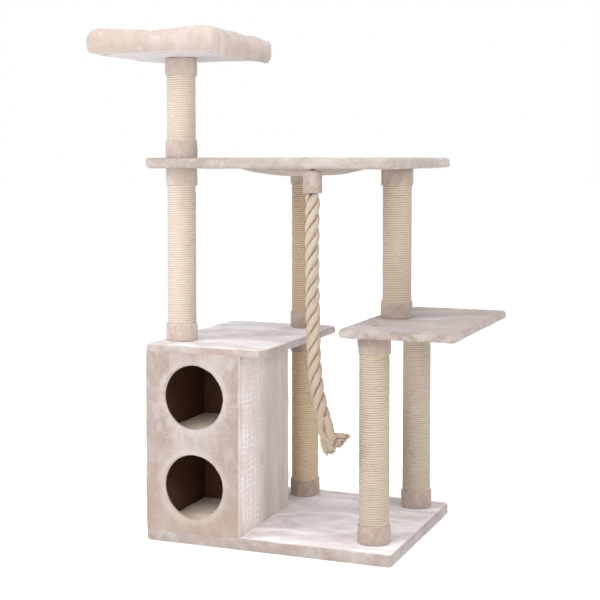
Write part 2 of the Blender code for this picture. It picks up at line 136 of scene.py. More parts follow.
# the route of the CAD tube, from the base's front left bottom corner
ROPE_ROUTE = (
    (0.474, 0.03, 0.941), (0.4735, 0.03, 0.9), (0.473, 0.03, 0.85),
    (0.473, 0.03, 0.8), (0.4732, 0.03, 0.75), (0.4738, 0.03, 0.7),
    (0.4745, 0.03, 0.65), (0.4756, 0.0295, 0.6), (0.4775, 0.0285, 0.55),
    (0.4805, 0.027, 0.505), (0.4855, 0.025, 0.465), (0.493, 0.023, 0.425),
    (0.5015, 0.0215, 0.392), (0.511, 0.02, 0.362),
)

# ---- the rope's end ----
# (points, radius at the start, radius at the end, share of the radius the other way)
KNOT_PARTS = (
    (((0.507, 0.014, 0.374), (0.5055, 0.011, 0.356), (0.5065, 0.0095, 0.342), (0.51, 0.0085, 0.33),
      (0.518, 0.0085, 0.3205), (0.529, 0.01, 0.312), (0.538, 0.013, 0.305)), 0.0102, 0.0085, 0.95),
    (((0.518, 0.015, 0.374), (0.525, 0.012, 0.356), (0.528, 0.0105, 0.341), (0.532, 0.011, 0.328),
      (0.54, 0.015, 0.317)), 0.0102, 0.0118, 0.95),
    (((0.511, 0.029, 0.368), (0.515, 0.029, 0.345), (0.521, 0.028, 0.325), (0.529, 0.025, 0.31)),
     0.01, 0.012, 0.9),
    (((0.51, 0.02, 0.322), (0.511, 0.018, 0.308), (0.516, 0.017, 0.295), (0.521, 0.017, 0.284)),
     0.01, 0.0115, 0.95),
    (((0.521, 0.019, 0.314), (0.527, 0.016, 0.303), (0.532, 0.015, 0.295), (0.535, 0.015, 0.288)),
     0.01, 0.0105, 0.95),
)
CUT_PARTS = 3                # parts from this one on end in loose fibres
TAIL_ROOT = ((0.534, 0.015, 0.33), (0.536, 0.015, 0.297))
TAIL_ENDS = ((0.577, 0.016, 0.331), (0.55, 0.017, 0.294))
TAIL_YARNS, YARN_RADIUS, FIBRE_RADIUS = 15, 0.0031, 0.0004

# ---- rope sleeve ----
SLEEVE_SQUARE = 2.7          # power of its plan: 2 is round, more is squarer
SLEEVE_BORE = ROPE_RADIUS + 0.0009
SLEEVE_ROUND = 0.006         # rounding of its upper edge
TAB_HALF = 0.015

# ---- bolt slits ----
SLIT_HALF, SLIT_WIDE = 0.01, 0.0062
# (share of the size, height above the plush), from the puckered lips in to the gap's flat cap, coloured as
# painted shade
SLIT_PROFILE = ((1.6, -0.0002), (1.4, 0.001), (1.15, 0.0016), (1.0, 0.0014), (0.9, 0.0009), (0.6, 0.0007))

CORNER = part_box("base_cover")[0]     # front left bottom corner of the base


def here(x, y, z):
    """A point given from the base's front left bottom corner, in the CAD frame."""
    return np.array((x + CORNER.x, y + CORNER.y, z + CORNER.z))


# ---- small tools ----

def linear(red, green, blue):
    """An 8-bit sRGB colour as the linear RGBA that shaders use."""
    shares = [value / 255 for value in (red, green, blue)]
    return (*[s / 12.92 if s <= 0.04045 else ((s + 0.055) / 1.055) ** 2.4 for s in shares], 1.0)


def wobble(points, wavelength, seed):
    """Smooth noise of about unit size at each point: a sum of plane waves in random directions."""
    rng = np.random.default_rng(seed)
    waves = rng.normal(size=(14, 3))
    waves *= (2 * math.pi / wavelength) / np.linalg.norm(waves, axis=1)[:, None]
    waves *= rng.uniform(0.7, 1.4, size=(14, 1))
    phases = rng.uniform(0, 2 * math.pi, 14)
    return np.sin(np.asarray(points) @ waves.T + phases).sum(axis=1) / math.sqrt(7)


def smoothstep(low, high, value):
    t = np.clip((value - low) / (high - low), 0, 1)
    return t * t * (3 - 2 * t)


def unit(rows):
    """Each row as a vector of length 1."""
    return rows / np.linalg.norm(rows, axis=1)[:, None]


def centre_of(lo, hi):
    """The middle of a box in plan."""
    return (lo.x + hi.x) / 2, (lo.y + hi.y) / 2


def at_height(plan, z):
    return np.column_stack([plan, np.full(len(plan), z)])


def turned(x, y, turn, across, deep, z):
    """A level ellipse about (x, y); across and deep are its half axes."""
    return np.column_stack([x + across * np.cos(turn), y + deep * np.sin(turn), np.full(len(turn), z)])


def whole_turn(count):
    return np.linspace(0, 2 * math.pi, count, endpoint=False)


def quads(rows, columns, wrap=True):
    """Faces of a grid of points numbered row by row; wrap joins the last column to the first."""
    faces = []
    for row in range(rows - 1):
        for column in range(columns if wrap else columns - 1):
            beside = (column + 1) % columns
            faces.append((row * columns + column, row * columns + beside,
                          (row + 1) * columns + beside, (row + 1) * columns + column))
    return faces


def loft(rings, closed=False, caps=(False, False)):
    """Points and faces of a skin through rings with equal point counts."""
    rings = np.asarray(rings, float)
    rows, columns = rings.shape[:2]
    points = rings.reshape(-1, 3)
    faces = quads(rows, columns)
    if closed:
        last = (rows - 1) * columns
        for column in range(columns):
            beside = (column + 1) % columns
            faces.append((last + column, last + beside, beside, column))
    for wanted, row, flip in ((caps[0], 0, True), (caps[1], rows - 1, False)):
        if wanted:
            centre = len(points)
            points = np.vstack([points, rings[row].mean(axis=0)])
            for column in range(columns):
                a, b = row * columns + column, row * columns + (column + 1) % columns
                faces.append((b, a, centre) if flip else (a, b, centre))
    return points, faces


def capped(rings):
    return loft(rings, caps=(True, True))


def add_piece(name, shape, finish, replaces=(), body="root"):
    """A named smooth mesh that rides on a CAD body and stands for the CAD nodes it replaces."""
    points, faces = shape
    mesh = bpy.data.meshes.new(name)
    mesh.from_pydata(np.asarray(points).tolist(), [], faces)
    bm = bmesh.new()
    bm.from_mesh(mesh)
    bmesh.ops.recalc_face_normals(bm, faces=bm.faces)
    bm.to_mesh(mesh)
    bm.free()
    mesh.shade_smooth()
    mesh.materials.append(finish)
    obj = bpy.data.objects.new(name, mesh)
    bpy.context.scene.collection.objects.link(obj)
    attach(obj, body)
    if replaces:
        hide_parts(*replaces)
    return obj


def points_of(mesh, what="co"):
    flat = np.empty(len(mesh.vertices) * 3)
    mesh.vertices.foreach_get(what, flat)
    return flat.reshape(-1, 3)


def normals_of(mesh):
    return points_of(mesh, "normal")


def move_points(mesh, points):
    mesh.vertices.foreach_set("co", np.ascontiguousarray(points, float).ravel())
    mesh.update()


def push_out(obj, amount):
    """Move each point along its normal by amount, an array in metres."""
    mesh = obj.data
    move_points(mesh, points_of(mesh) + normals_of(mesh) * np.asarray(amount)[:, None])


def nap_relief(points, seed):
    """How far plush stands proud: slack in the cloth, then the pile's own lumps."""
    return (0.00035 * wobble(points, 0.14, seed) + 0.0002 * wobble(points, 0.045, seed + 1)
            + 0.00014 * wobble(points, 0.018, seed + 2))


# ---- materials ----

class Nodes:
    """A material's node tree, with one short call for each node."""

    def __init__(self, name):
        self.material = bpy.data.materials.new(name)
        self.material.use_nodes = True
        self.tree = self.material.node_tree
        self.shader = self.tree.nodes["Principled BSDF"]
        self.place = self.tree.nodes.new("ShaderNodeTexCoord").outputs["Object"]

    def add(self, kind, inputs=(), **settings):
        node = self.tree.nodes.new("ShaderNode" + kind)
        for key, value in settings.items():
            setattr(node, key, value)
        for key, value in dict(inputs).items():
            self.set(node.inputs[key], value)
        return node

    def set(self, socket, value):
        if isinstance(value, bpy.types.NodeSocket):
            self.tree.links.new(value, socket)
        else:
            socket.default_value = value

    def noise(self, scale, detail=2.0, stretch=None, distortion=0.0):
        vector = self.place
        if stretch:
            vector = self.add("Mapping", {"Vector": vector, "Scale": stretch}).outputs[0]
        return self.add("TexNoise", {"Vector": vector, "Scale": scale, "Detail": detail,
                                     "Distortion": distortion}).outputs["Fac"]

    def ramp(self, value, *stops):
        node = self.add("ValToRGB", {"Fac": value})
        elements = node.color_ramp.elements
        while len(elements) < len(stops):
            elements.new(0.5)
        for element, (at, colour) in zip(elements, stops):
            element.position = at
            element.color = colour
        return node.outputs["Color"]

    def grey(self, value, low, high, out_low=0.0, out_high=1.0):
        return self.add("MapRange", {"Value": value, "From Min": low, "From Max": high,
                                     "To Min": out_low, "To Max": out_high}).outputs[0]

    def mix(self, share, first, second, blend='MIX'):
        node = self.add("Mix", data_type='RGBA', blend_type=blend)
        self.set(node.inputs[0], share)
        self.set(node.inputs[6], first)
        self.set(node.inputs[7], second)
        return node.outputs[2]

    def math(self, operation, first, second=0.0):
        node = self.add("Math", operation=operation)
        self.set(node.inputs[0], first)
        self.set(node.inputs[1], second)
        return node.outputs[0]

    def times(self, first, second):
        return self.math('MULTIPLY', first, second)

    def parts(self, vector):
        """A vector's X, Y and Z outputs."""
        return self.add("SeparateXYZ", {"Vector": vector}).outputs

    def facing(self, axis):
        """How far the surface faces along an axis, from -1 to 1."""
        return self.parts(self.add("NewGeometry").outputs["Normal"])[axis]

    def bump(self, height, distance, strength=1.0, under=None):
        inputs = {"Height": height, "Distance": distance, "Strength": strength}
        if under:
            inputs["Normal"] = under
        return self.add("Bump", inputs).outputs[0]

    def finish(self, colour, roughness, normal=None, **constants):
        self.set(self.shader.inputs["Base Color"], colour)
        self.set(self.shader.inputs["Roughness"], roughness)
        if normal:
            self.set(self.shader.inputs["Normal"], normal)
        for key, value in constants.items():
            self.shader.inputs[key.replace("_", " ")].default_value = value
        return self.material


def plush(name, tones, patch=8.0, streak=(1.0, 1.0, 1.0), touch=None):
    """Short plush: patches where the pile lies another way, streaks of brushing and a fine nap."""
    n = Nodes(name)
    shade, body, light = [linear(*tone) for tone in tones]
    patches = n.noise(patch, 4.0, streak, distortion=0.8)
    colour = n.mix(0.62, body, n.ramp(patches, (0.34, shade), (0.5, body), (0.64, light)))
    lie = n.noise(patch * 4.5, 3.0, streak, distortion=0.6)
    colour = n.mix(n.grey(lie, 0.5, 0.68, 0.0, 0.55), colour, light)
    colour = n.mix(n.grey(lie, 0.48, 0.34, 0.0, 0.35), colour, shade)
    pile = n.noise(1100.0, 2.0)
    tufts = n.noise(210.0, 3.0)
    colour = n.mix(0.28, colour, n.ramp(tufts, (0.3, shade), (0.7, light)))
    colour = n.mix(0.12, colour, n.ramp(pile, (0.25, shade), (0.75, light)), 'MULTIPLY')
    relief = n.bump(tufts, 0.0014, 0.65)
    relief = n.bump(pile, 0.0005, 0.5, relief)
    if touch:
        colour = touch(n, colour)
    return n.finish(colour, n.grey(tufts, 0.3, 0.7, 0.82, 1.0), relief, Sheen_Weight=0.4,
                    Sheen_Roughness=0.4, Sheen_Tint=(0.93, 0.93, 1.0, 1.0), Specular_IOR_Level=0.12)


def painted_top_highlight(n, colour):
    """Painted highlight on a board's upper face: streaky pale colour where it faces up, with brown strokes
    in it.
    """
    streaks = n.noise(7.0, 4.0, (0.7, 1.3, 1.0), distortion=1.6)
    share = n.times(n.grey(n.facing("Z"), 0.6, 0.97), n.grey(streaks, 0.34, 0.6, 0.48, 1.0))
    # painted highlight: upward faces mixed towards a near-white tone
    colour = n.mix(share, colour, linear(251, 245, 247))
    strokes = n.noise(4.2, 4.0, (1.0, 1.5, 1.0), distortion=1.2)
    return n.mix(n.times(share, n.grey(strokes, 0.46, 0.62, 0.0, 0.45)), colour, linear(184, 165, 152))


def brushed_top(n, colour):
    """Brown strokes and pale lilac spots on a board's upper face; its edges stay cooler."""
    on_top = n.grey(n.facing("Z"), 0.6, 0.97)
    strokes = n.noise(6.0, 4.0, (0.5, 1.8, 1.0), distortion=1.4)
    colour = n.mix(n.times(on_top, n.grey(strokes, 0.36, 0.64, 0.1, 0.62)), colour, linear(156, 136, 122))
    spots = n.noise(11.0, 2.0, (0.8, 1.3, 1.0), distortion=0.6)
    return n.mix(n.times(on_top, n.grey(spots, 0.56, 0.74, 0.0, 0.45)), colour, linear(210, 202, 207))


def painted_floor_bounce(n, colour):
    """Painted light from below: a light, cool tint where the bed's plush faces down and rolls under."""
    return n.mix(n.grey(n.facing("Z"), -0.72, -0.95, 0.0, 0.45), colour, linear(222, 216, 222))


def painted_doorway_highlights(n, colour, place, front):
    """Painted highlight: a pale ring round both doorways, on the front only."""
    at_front = n.grey(place["Y"], front + 0.004, front + 0.012, 1.0, 0.0)
    for z in (LOWER_DOOR_Z, UPPER_DOOR_Z):
        centre = (CORNER.x + DOOR_X, front, CORNER.z + z)
        away = n.add("VectorMath", {0: n.place, 1: centre}, operation='DISTANCE').outputs["Value"]
        ring = n.times(n.grey(away, DOOR_RADIUS + 0.008, DOOR_RADIUS + 0.022, 0.22, 0.0), at_front)
        # painted highlight round the doorway's rolled rim
        colour = n.mix(ring, colour, linear(212, 204, 202))
    return colour


def pressed_net(n, colour, place, share):
    """Faded light lines along and up a face, where the nap was pressed."""
    for axis, cell in (("Y", CRUSH_CELL[0]), ("Z", CRUSH_CELL[1])):
        along = n.math('ADD', place[axis], n.grey(n.noise(22.0, 3.0), 0.3, 0.7, -0.006, 0.006))
        line = n.grey(n.math('SINE', n.times(along, 2 * math.pi / cell)), 0.55, 0.95)
        colour = n.mix(n.times(line, share), colour, linear(244, 239, 239))
    return colour


def crushed_nap_with_painted_light(n, colour):
    """Browner low down, with painted highlights: pale rings round both doorways, the whole right side
    lifted, and a paler band near its front holding the crushed nap's net of pressed marks.
    """
    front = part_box("condo_cover")[0].y
    place = n.parts(n.place)
    colour = n.mix(n.grey(place["Z"], 0.3, 0.05, 0.0, 0.55), colour, linear(164, 144, 128))
    brushed = n.noise(8.0, 5.0, (1.0, 1.0, 0.6), distortion=0.8)
    colour = n.mix(n.grey(brushed, 0.5, 0.66, 0.0, 0.26), colour, linear(200, 191, 190))
    colour = painted_doorway_highlights(n, colour, place, front)
    waver = n.grey(n.noise(9.0, 2.0), 0.3, 0.7, -0.022, 0.022)
    depth = n.math('ADD', n.math('SUBTRACT', place["Y"], front), waver)
    on_side = n.grey(n.facing("X"), 0.55, 0.9)
    band = n.times(n.grey(depth, SIDE_HIGHLIGHT_BAND[0] - 0.01, SIDE_HIGHLIGHT_BAND[0] + 0.012),
                   n.grey(depth, SIDE_HIGHLIGHT_BAND[1] - 0.03, SIDE_HIGHLIGHT_BAND[1] + 0.02, 1.0, 0.0))
    band = n.times(band, on_side)
    # painted highlight: the whole side facing right mixed towards a paler tone
    colour = n.mix(n.times(on_side, 0.58), colour, linear(218, 204, 196))
    streaks = n.noise(14.0, 3.0, (1.0, 1.6, 0.16), distortion=0.5)
    soft = n.times(on_side, n.grey(streaks, 0.42, 0.62, 0.0, 0.45))
    colour = n.mix(soft, colour, linear(226, 217, 218))
    # painted highlight band near the side's front; the pressed marks below are drawn pale only inside it
    colour = n.mix(n.times(band, 0.55), colour, linear(234, 226, 226))
    faded = n.times(band, n.grey(n.noise(13.0, 3.0), 0.38, 0.58, 0.0, 0.7))
    return pressed_net(n, colour, place, faded)


def painted_shade_low_end(n, colour):
    """Painted shade: darker towards the rope's lower end."""
    height = n.parts(n.place)["Z"]
    return n.mix(n.grey(height, 0.64, 0.34, 0.0, 0.85), colour, linear(160, 143, 125))


def wound_cord(name, tones, depth=0.45, strand=0.011, touch=None):
    """Twisted natural fibre: slanting yarns and hairs, laid out by the mesh's own cord attribute."""
    n = Nodes(name)
    shadow, dark, body, light = [linear(*tone) for tone in tones]
    lay = n.parts(n.add("Attribute", attribute_name="cord").outputs["Vector"])
    slant = n.math('ADD', n.math('DIVIDE', lay["X"], strand), lay["Y"])
    twist = n.math('SINE', n.times(slant, 2 * math.pi))
    hairs = n.noise(1.0, 3.0, (2200.0, 2200.0, 380.0))
    drift = n.noise(26.0, 3.0)
    turn = n.add("TexWhiteNoise", {"W": n.math('FLOOR', lay["Z"])}, noise_dimensions='1D').outputs["Value"]
    colour = n.ramp(drift, (0.1, dark), (0.4, body), (0.6, body), (0.85, light))
    colour = n.mix(n.times(turn, 0.1), colour, dark)
    colour = n.mix(0.35, colour, n.ramp(hairs, (0.28, dark), (0.72, light)))
    colour = n.mix(n.grey(twist, -1.0, 0.2, 0.22, 0.0), colour, dark)
    if touch:
        colour = touch(n, colour)
    # painted shade: the groove mask darkens valleys between sisal turns and clefts between rope strands
    # towards the shadow tone
    groove = n.add("Attribute", attribute_name="groove").outputs["Fac"]
    colour = n.mix(n.times(groove, depth), colour, shadow)
    relief = n.bump(n.grey(twist, -1.0, 1.0), 0.0009, 0.6)
    relief = n.bump(hairs, 0.0006, 0.7, relief)
    return n.finish(colour, n.grey(hairs, 0.3, 0.7, 0.78, 0.98), relief, Sheen_Weight=0.1,
                    Specular_IOR_Level=0.25)


def board_material(name, dark, light, flakes):
    """Raw board: pressed flakes of several browns."""
    n = Nodes(name)
    dark, light = linear(*dark), linear(*light)
    cells = n.add("TexVoronoi", {"Vector": n.place, "Scale": flakes, "Randomness": 1.0})
    tone = n.add("SeparateColor", {"Color": cells.outputs["Color"]}).outputs[0]
    grain = n.noise(420.0, 3.0)
    flaked = n.ramp(tone, (0.0, dark), (1.0, light))
    colour = n.mix(0.35, flaked, n.ramp(grain, (0.3, dark), (0.7, light)))
    return n.finish(colour, n.grey(grain, 0.3, 0.7, 0.7, 0.9), n.bump(grain, 0.0006, 0.5))


def cardboard_material():
    """Spiral-wound tube: a faint slanting seam and mottled pulp."""
    n = Nodes("cardboard tube")
    place = n.parts(n.place)
    seam = n.math('SINE', n.times(n.math('ADD', place["Z"], place["X"]), 90.0))
    pulp = n.noise(300.0, 4.0)
    colour = n.ramp(pulp, (0.3, linear(138, 113, 84)), (0.7, linear(172, 146, 112)))
    colour = n.mix(n.grey(seam, 0.9, 1.0, 0.0, 0.4), colour, linear(96, 76, 54))
    return n.finish(colour, n.grey(pulp, 0.3, 0.7, 0.75, 0.92), n.bump(pulp, 0.0003, 0.5))


def steel_material():
    """Zinc-plated steel with fine scratches."""
    n = Nodes("zinc plated steel")
    grit = n.noise(900.0, 3.0, (1.0, 1.0, 0.15))
    colour = n.ramp(grit, (0.3, linear(150, 152, 155)), (0.7, linear(188, 189, 190)))
    return n.finish(colour, n.grey(grit, 0.3, 0.7, 0.28, 0.45), n.bump(grit, 0.0001, 0.4), Metallic=1.0)


PLUSH_BOARD = plush("plush on the side platform", ((140, 124, 113), (166, 152, 142), (200, 192, 191)),
                    11.0, (0.8, 1.1, 1.0), brushed_top)
PLUSH_BASE = plush("plush on the base", ((149, 131, 121), (170, 156, 149), (194, 187, 186)), 6.0,
                   touch=painted_top_highlight)
PLUSH_LANDING = plush("plush on the landing board", ((159, 140, 129), (181, 167, 160), (204, 197, 196)),
                      6.0, touch=painted_top_highlight)
PLUSH_TOP = plush("plush on the top platform", ((154, 139, 128), (172, 160, 151), (198, 191, 188)), 9.0,
                  (0.7, 1.2, 1.0))
# painted shade: a darker, warmer copy of the top platform's plush for the slung hollow
PLUSH_HOLLOW_SHADED = plush("plush of the hollow", ((152, 131, 114), (170, 151, 134), (188, 173, 158)), 9.0)
PLUSH_CONDO = plush("plush on the condo", ((152, 135, 124), (168, 153, 145), (192, 182, 180)), 10.0,
                    (1.0, 1.0, 0.6), crushed_nap_with_painted_light)
PLUSH_COLLAR = plush("plush collars", ((156, 137, 124), (175, 159, 148), (193, 181, 172)), 14.0)
# painted light: a lighter copy of the collar plush for the left posts
COLLAR_PAINTED_LIT = plush("pale plush collars", ((180, 162, 149), (196, 181, 170), (212, 202, 194)), 14.0)
PLUSH_SLEEVE = plush("plush of the rope's sleeve", ((150, 130, 120), (168, 151, 142), (186, 173, 165)),
                     14.0)
PLUSH_BED = plush("plush on the bed", ((176, 158, 146), (189, 174, 164), (204, 195, 191)), 7.0,
                  (1.0, 1.0, 0.5), painted_floor_bounce)
PLUSH_LINING = plush("plush lining", ((196, 172, 144), (232, 210, 182), (250, 242, 232)), 22.0)
SISAL = wound_cord("sisal", ((124, 103, 80), (164, 145, 125), (201, 186, 169), (214, 203, 189)))
# painted light: a lighter copy of the sisal for the left posts
SISAL_PAINTED_LIT = wound_cord("pale sisal", ((154, 134, 111), (189, 173, 155), (218, 205, 191), (227, 218, 206)),
                        0.4)
# painted shade: a darker, warmer copy for the upper rear post under the top platform
SISAL_PAINTED_SHADE = wound_cord("warm sisal", ((126, 99, 70), (163, 140, 113), (199, 180, 155), (210, 196, 177)))
# painted light: a lighter, warmer copy for the lower rear post under the landing board
SISAL_PAINTED_WARM_LIGHT = wound_cord("light warm sisal",
                              ((140, 112, 78), (183, 158, 124), (224, 204, 171), (233, 219, 194)))
# how a post's name starts, and its sisal; the others have the standard one. These are lit and shaded copies
# of the sisal: painted light on the left posts, painted shade on the upper rear post, painted warm light on
# the lower rear post.
SISAL_TONES = (("left", SISAL_PAINTED_LIT), ("rear_upper", SISAL_PAINTED_SHADE), ("rear_post", SISAL_PAINTED_WARM_LIGHT))
ROPE_FIBRE = wound_cord("rope fibre", ((92, 68, 46), (144, 124, 104), (193, 176, 158), (210, 196, 180)),
                        0.7, 0.03, painted_shade_low_end)
CHIPBOARD = board_material("chipboard", (140, 110, 76), (196, 166, 124), 90.0)
# brown board colour, partly the panels' own and partly painted shade: darker so the rooms read as deep
# shade; also the painted shade in bolt slits
PANEL_DARKENED_AS_SHADE = board_material("brown condo panel", (84, 52, 33), (100, 66, 45), 60.0)
CARDBOARD = cardboard_material()
STEEL = steel_material()


# ---- plush-covered boards ----

def rounded_outline(lo, hi, radii, step=BOARD_STEP, corner_steps=6):
    """Points and outward normals round a rectangle.

    The radii go front left, front right, rear right, rear left.
    """
    spots = ((lo.x, lo.y, 1, 1, 180), (hi.x, lo.y, -1, 1, 270), (hi.x, hi.y, -1, -1, 0),
             (lo.x, hi.y, 1, -1, 90))
    points, normals = [], []
    centres = [(x + sx * r, y + sy * r) for (x, y, sx, sy, _), r in zip(spots, radii)]
    for k, radius in enumerate(radii):
        start = spots[k][4]
        for i in range(corner_steps + 1):
            angle = math.radians(start + 90 * i / corner_steps)
            normal = (math.cos(angle), math.sin(angle))
            points.append((centres[k][0] + radius * normal[0], centres[k][1] + radius * normal[1]))
            normals.append(normal)
        after = (k + 1) % 4
        goal = tuple(c + radii[after] * part for c, part in zip(centres[after], normal))
        span = math.dist(points[-1], goal)
        count = max(1, round(span / step))
        begin = points[-1]
        for i in range(1, count):
            points.append(tuple(a + (b - a) * (i / count) for a, b in zip(begin, goal)))
            normals.append(normal)
    return np.array(points), np.array(normals)


def rolled_edge(flat, out, radius, z, degrees):
    """Rings round a rim: from level at 0 degrees to upright at 90; a negative radius rolls upwards."""
    size = abs(radius)
    return [at_height(flat + out * size * math.sin(a), z - radius * (1 - math.cos(a)))
            for a in np.radians(degrees)]


def hemmed_below(plan, out, z):
    """Rings of plush turned under a board and tucked up at the hem's end."""
    rings = [at_height(plan - out * (RIM + (HEM - RIM) * share), z) for share in np.linspace(0.15, 1, 5)]
    return rings + [at_height(plan - out * (HEM + 0.001), z + 0.0045)]


def oval_opening(plan, lo, hi, oval):
    """An oval in step with the board's outline, and the directions out from it."""
    middle = np.array(centre_of(lo, hi))
    half = np.array(((hi.x - lo.x) / 2, (hi.y - lo.y) / 2))
    angle = np.arctan2((plan[:, 1] - middle[1]) / half[1], (plan[:, 0] - middle[0]) / half[0])
    inner = middle + np.column_stack([oval[0] * np.cos(angle), oval[1] * np.sin(angle)])
    away = np.column_stack([np.cos(angle) / oval[0], np.sin(angle) / oval[1]])
    return inner, unit(away)


def board_skin(node, radii, seed, finish, hem=False, oval=None):
    """Plush pulled over a board, with rounded rims, slack and lumps, and a hem or an oval opening."""
    lo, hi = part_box(node)
    plan, out = rounded_outline(lo, hi, radii)
    edge = plan - out * RIM
    if oval:
        inner, away = oval_opening(plan, lo, hi, oval)
        inside = inner + away * OVAL_LIP
    else:
        middle = np.array(centre_of(lo, hi))
        inside = middle + (plan - middle) * 0.03
    rings = [at_height(inside + (edge - inside) * share, hi.z) for share in np.linspace(0, 1, 30)]
    rings += rolled_edge(edge, out, RIM, hi.z, (22.5, 45, 67.5, 90))
    rings.append(at_height(plan, (lo.z + hi.z) / 2))
    rings += rolled_edge(edge, out, -RIM, lo.z, (90, 67.5, 45, 22.5, 0))
    if hem:
        rings += hemmed_below(plan, out, lo.z)
    else:
        shares = np.linspace(1, 0, 16 if oval else 18)[1:]
        rings += [at_height(inside + (edge - inside) * share, lo.z) for share in shares]
    if oval:
        rings += rolled_edge(inside, -away, -OVAL_LIP, lo.z, (30, 60, 90))
        rings += rolled_edge(inside, -away, OVAL_LIP, hi.z, (90, 60, 30))
    shape = loft(rings, closed=True) if oval else capped(rings)
    obj = add_piece(node + "_plush", shape, finish, [node])
    relief_on_board(obj, lo, hi, seed, hem)


def relief_on_board(obj, lo, hi, seed, on_floor):
    """Slack and lumps in the cloth, more at the rims, and none on a face that rests on the floor."""
    points = points_of(obj.data)
    from_edge = np.minimum.reduce([points[:, 0] - lo.x, hi.x - points[:, 0],
                                   points[:, 1] - lo.y, hi.y - points[:, 1]])
    at_rim = 1 - smoothstep(0.004, 0.03, from_edge)
    amount = nap_relief(points, seed) + at_rim * 0.0003 * wobble(points, 0.024, seed + 5)
    if on_floor:
        amount *= smoothstep(0.0, 0.006, points[:, 2] - lo.z)
    push_out(obj, amount)


# ---- posts ----

def sisal_winding(node, seed):
    """One helix of cord round a post, with both ends inside the collars."""
    lo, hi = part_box(node)
    x, y = centre_of(lo, hi)
    crest = (hi.x - lo.x) / 2
    bottom, top = lo.z - TUCK, hi.z + TUCK
    turns = round((top - bottom) / SISAL_PITCH) - 1
    pitch = (top - bottom) / (turns + 1)
    steps, profile = turns * WIND_SIDES, len(CORD_SHAPE)
    step = np.arange(steps + WIND_SIDES + 1)
    angle = 2 * math.pi * step / WIND_SIDES
    points, cord = [], []
    for across, depth in CORD_SHAPE:
        swell = 0.00028 * wobble(np.column_stack([step * 0.007, step * 0.0, step * 0.0]), 0.05, seed)
        radius = crest - depth + swell
        rise = bottom + pitch * (step / WIND_SIDES + across)
        points.append(np.column_stack([x + radius * np.cos(angle), y + radius * np.sin(angle), rise]))
        length = step * 2 * math.pi * crest / WIND_SIDES
        cord.append(np.column_stack([length, np.full(len(step), across), step / WIND_SIDES]))
    points, cord = np.stack(points, axis=1).reshape(-1, 3), np.stack(cord, axis=1).reshape(-1, 3)
    faces = []
    for n in range(steps):
        for m in range(profile):
            a = n * profile + m
            above = a + 1 if m + 1 < profile else (n + WIND_SIDES) * profile
            faces.append((a, a + profile, above + profile, above))
    used = np.zeros(len(points), bool)
    used[np.array(faces).ravel()] = True
    renumber = np.cumsum(used) - 1
    faces = [tuple(int(renumber[i]) for i in face) for face in faces]
    finish = next((tone for start, tone in SISAL_TONES if node.startswith(start)), SISAL)
    obj = add_piece(node + "_cord", (points[used], faces), finish, [node])
    # the valley row of each turn is marked as groove, for painted shade
    set_cord(obj.data, cord[used], (cord[used][:, 1] == 0.0) * 1.0)


def set_cord(mesh, values, groove):
    """Store each point's place on its cord (length along, share across, turn) and its depth in a groove."""
    attribute = mesh.attributes.new("cord", 'FLOAT_VECTOR', 'POINT')
    attribute.data.foreach_set("vector", np.ascontiguousarray(values, np.float32).ravel())
    attribute = mesh.attributes.new("groove", 'FLOAT', 'POINT')
    attribute.data.foreach_set("value", np.ascontiguousarray(groove, np.float32))


def collar(node, seed):
    """Plush band round a post's end, a little fuller in the middle, with an overlapped seam."""
    lo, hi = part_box(node)
    x, y = centre_of(lo, hi)
    outer, tall = (hi.x - lo.x) / 2, hi.z - lo.z
    inner, roll = outer - COLLAR_THICK, COLLAR_ROLL
    profile = [(inner, 0.0), (outer - roll, 0.0), (outer - roll * 0.3, roll * 0.3), (outer, roll)]
    profile += [(outer + 0.0006 * math.sin(math.pi * t), roll + (tall - 2 * roll) * t)
                for t in np.linspace(0.1, 0.9, 9)]
    profile += [(outer, tall - roll), (outer - roll * 0.3, tall - roll * 0.3), (outer - roll, tall),
                (inner, tall)]
    rings = [turned(x, y, whole_turn(56), r, r, lo.z + z) for r, z in profile]
    # the left posts take the painted-light copy of the collar plush
    finish = COLLAR_PAINTED_LIT if node.startswith("left") else PLUSH_COLLAR
    obj = add_piece(node + "_plush", loft(rings, closed=True), finish, [node])
    points = points_of(obj.data)
    around = np.arctan2(points[:, 1] - y, points[:, 0] - x)
    seam = np.random.default_rng(seed).uniform(-2.4, -0.2)
    past_seam = (around - seam) % (2 * math.pi)
    overlap = 0.0009 * (1 - smoothstep(0.0, 0.9, past_seam)) * smoothstep(0.0, 0.06, past_seam)
    outside = np.hypot(points[:, 0] - x, points[:, 1] - y) > inner + 0.002
    folds = 0.0005 * wobble(np.column_stack([around * 0.04, around * 0, points[:, 2] * 0.25]), 0.022, seed)
    push_out(obj, np.where(outside, overlap + folds + 0.0003 * wobble(points, 0.02, seed + 1), 0.0))


def build_posts():
    for seed, node in enumerate(sorted(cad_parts)):
        if node.endswith("_sisal"):
            sisal_winding(node, 100 + seed)
        if "_collar_" in node:
            collar(node, 200 + seed)


# ---- condo ----

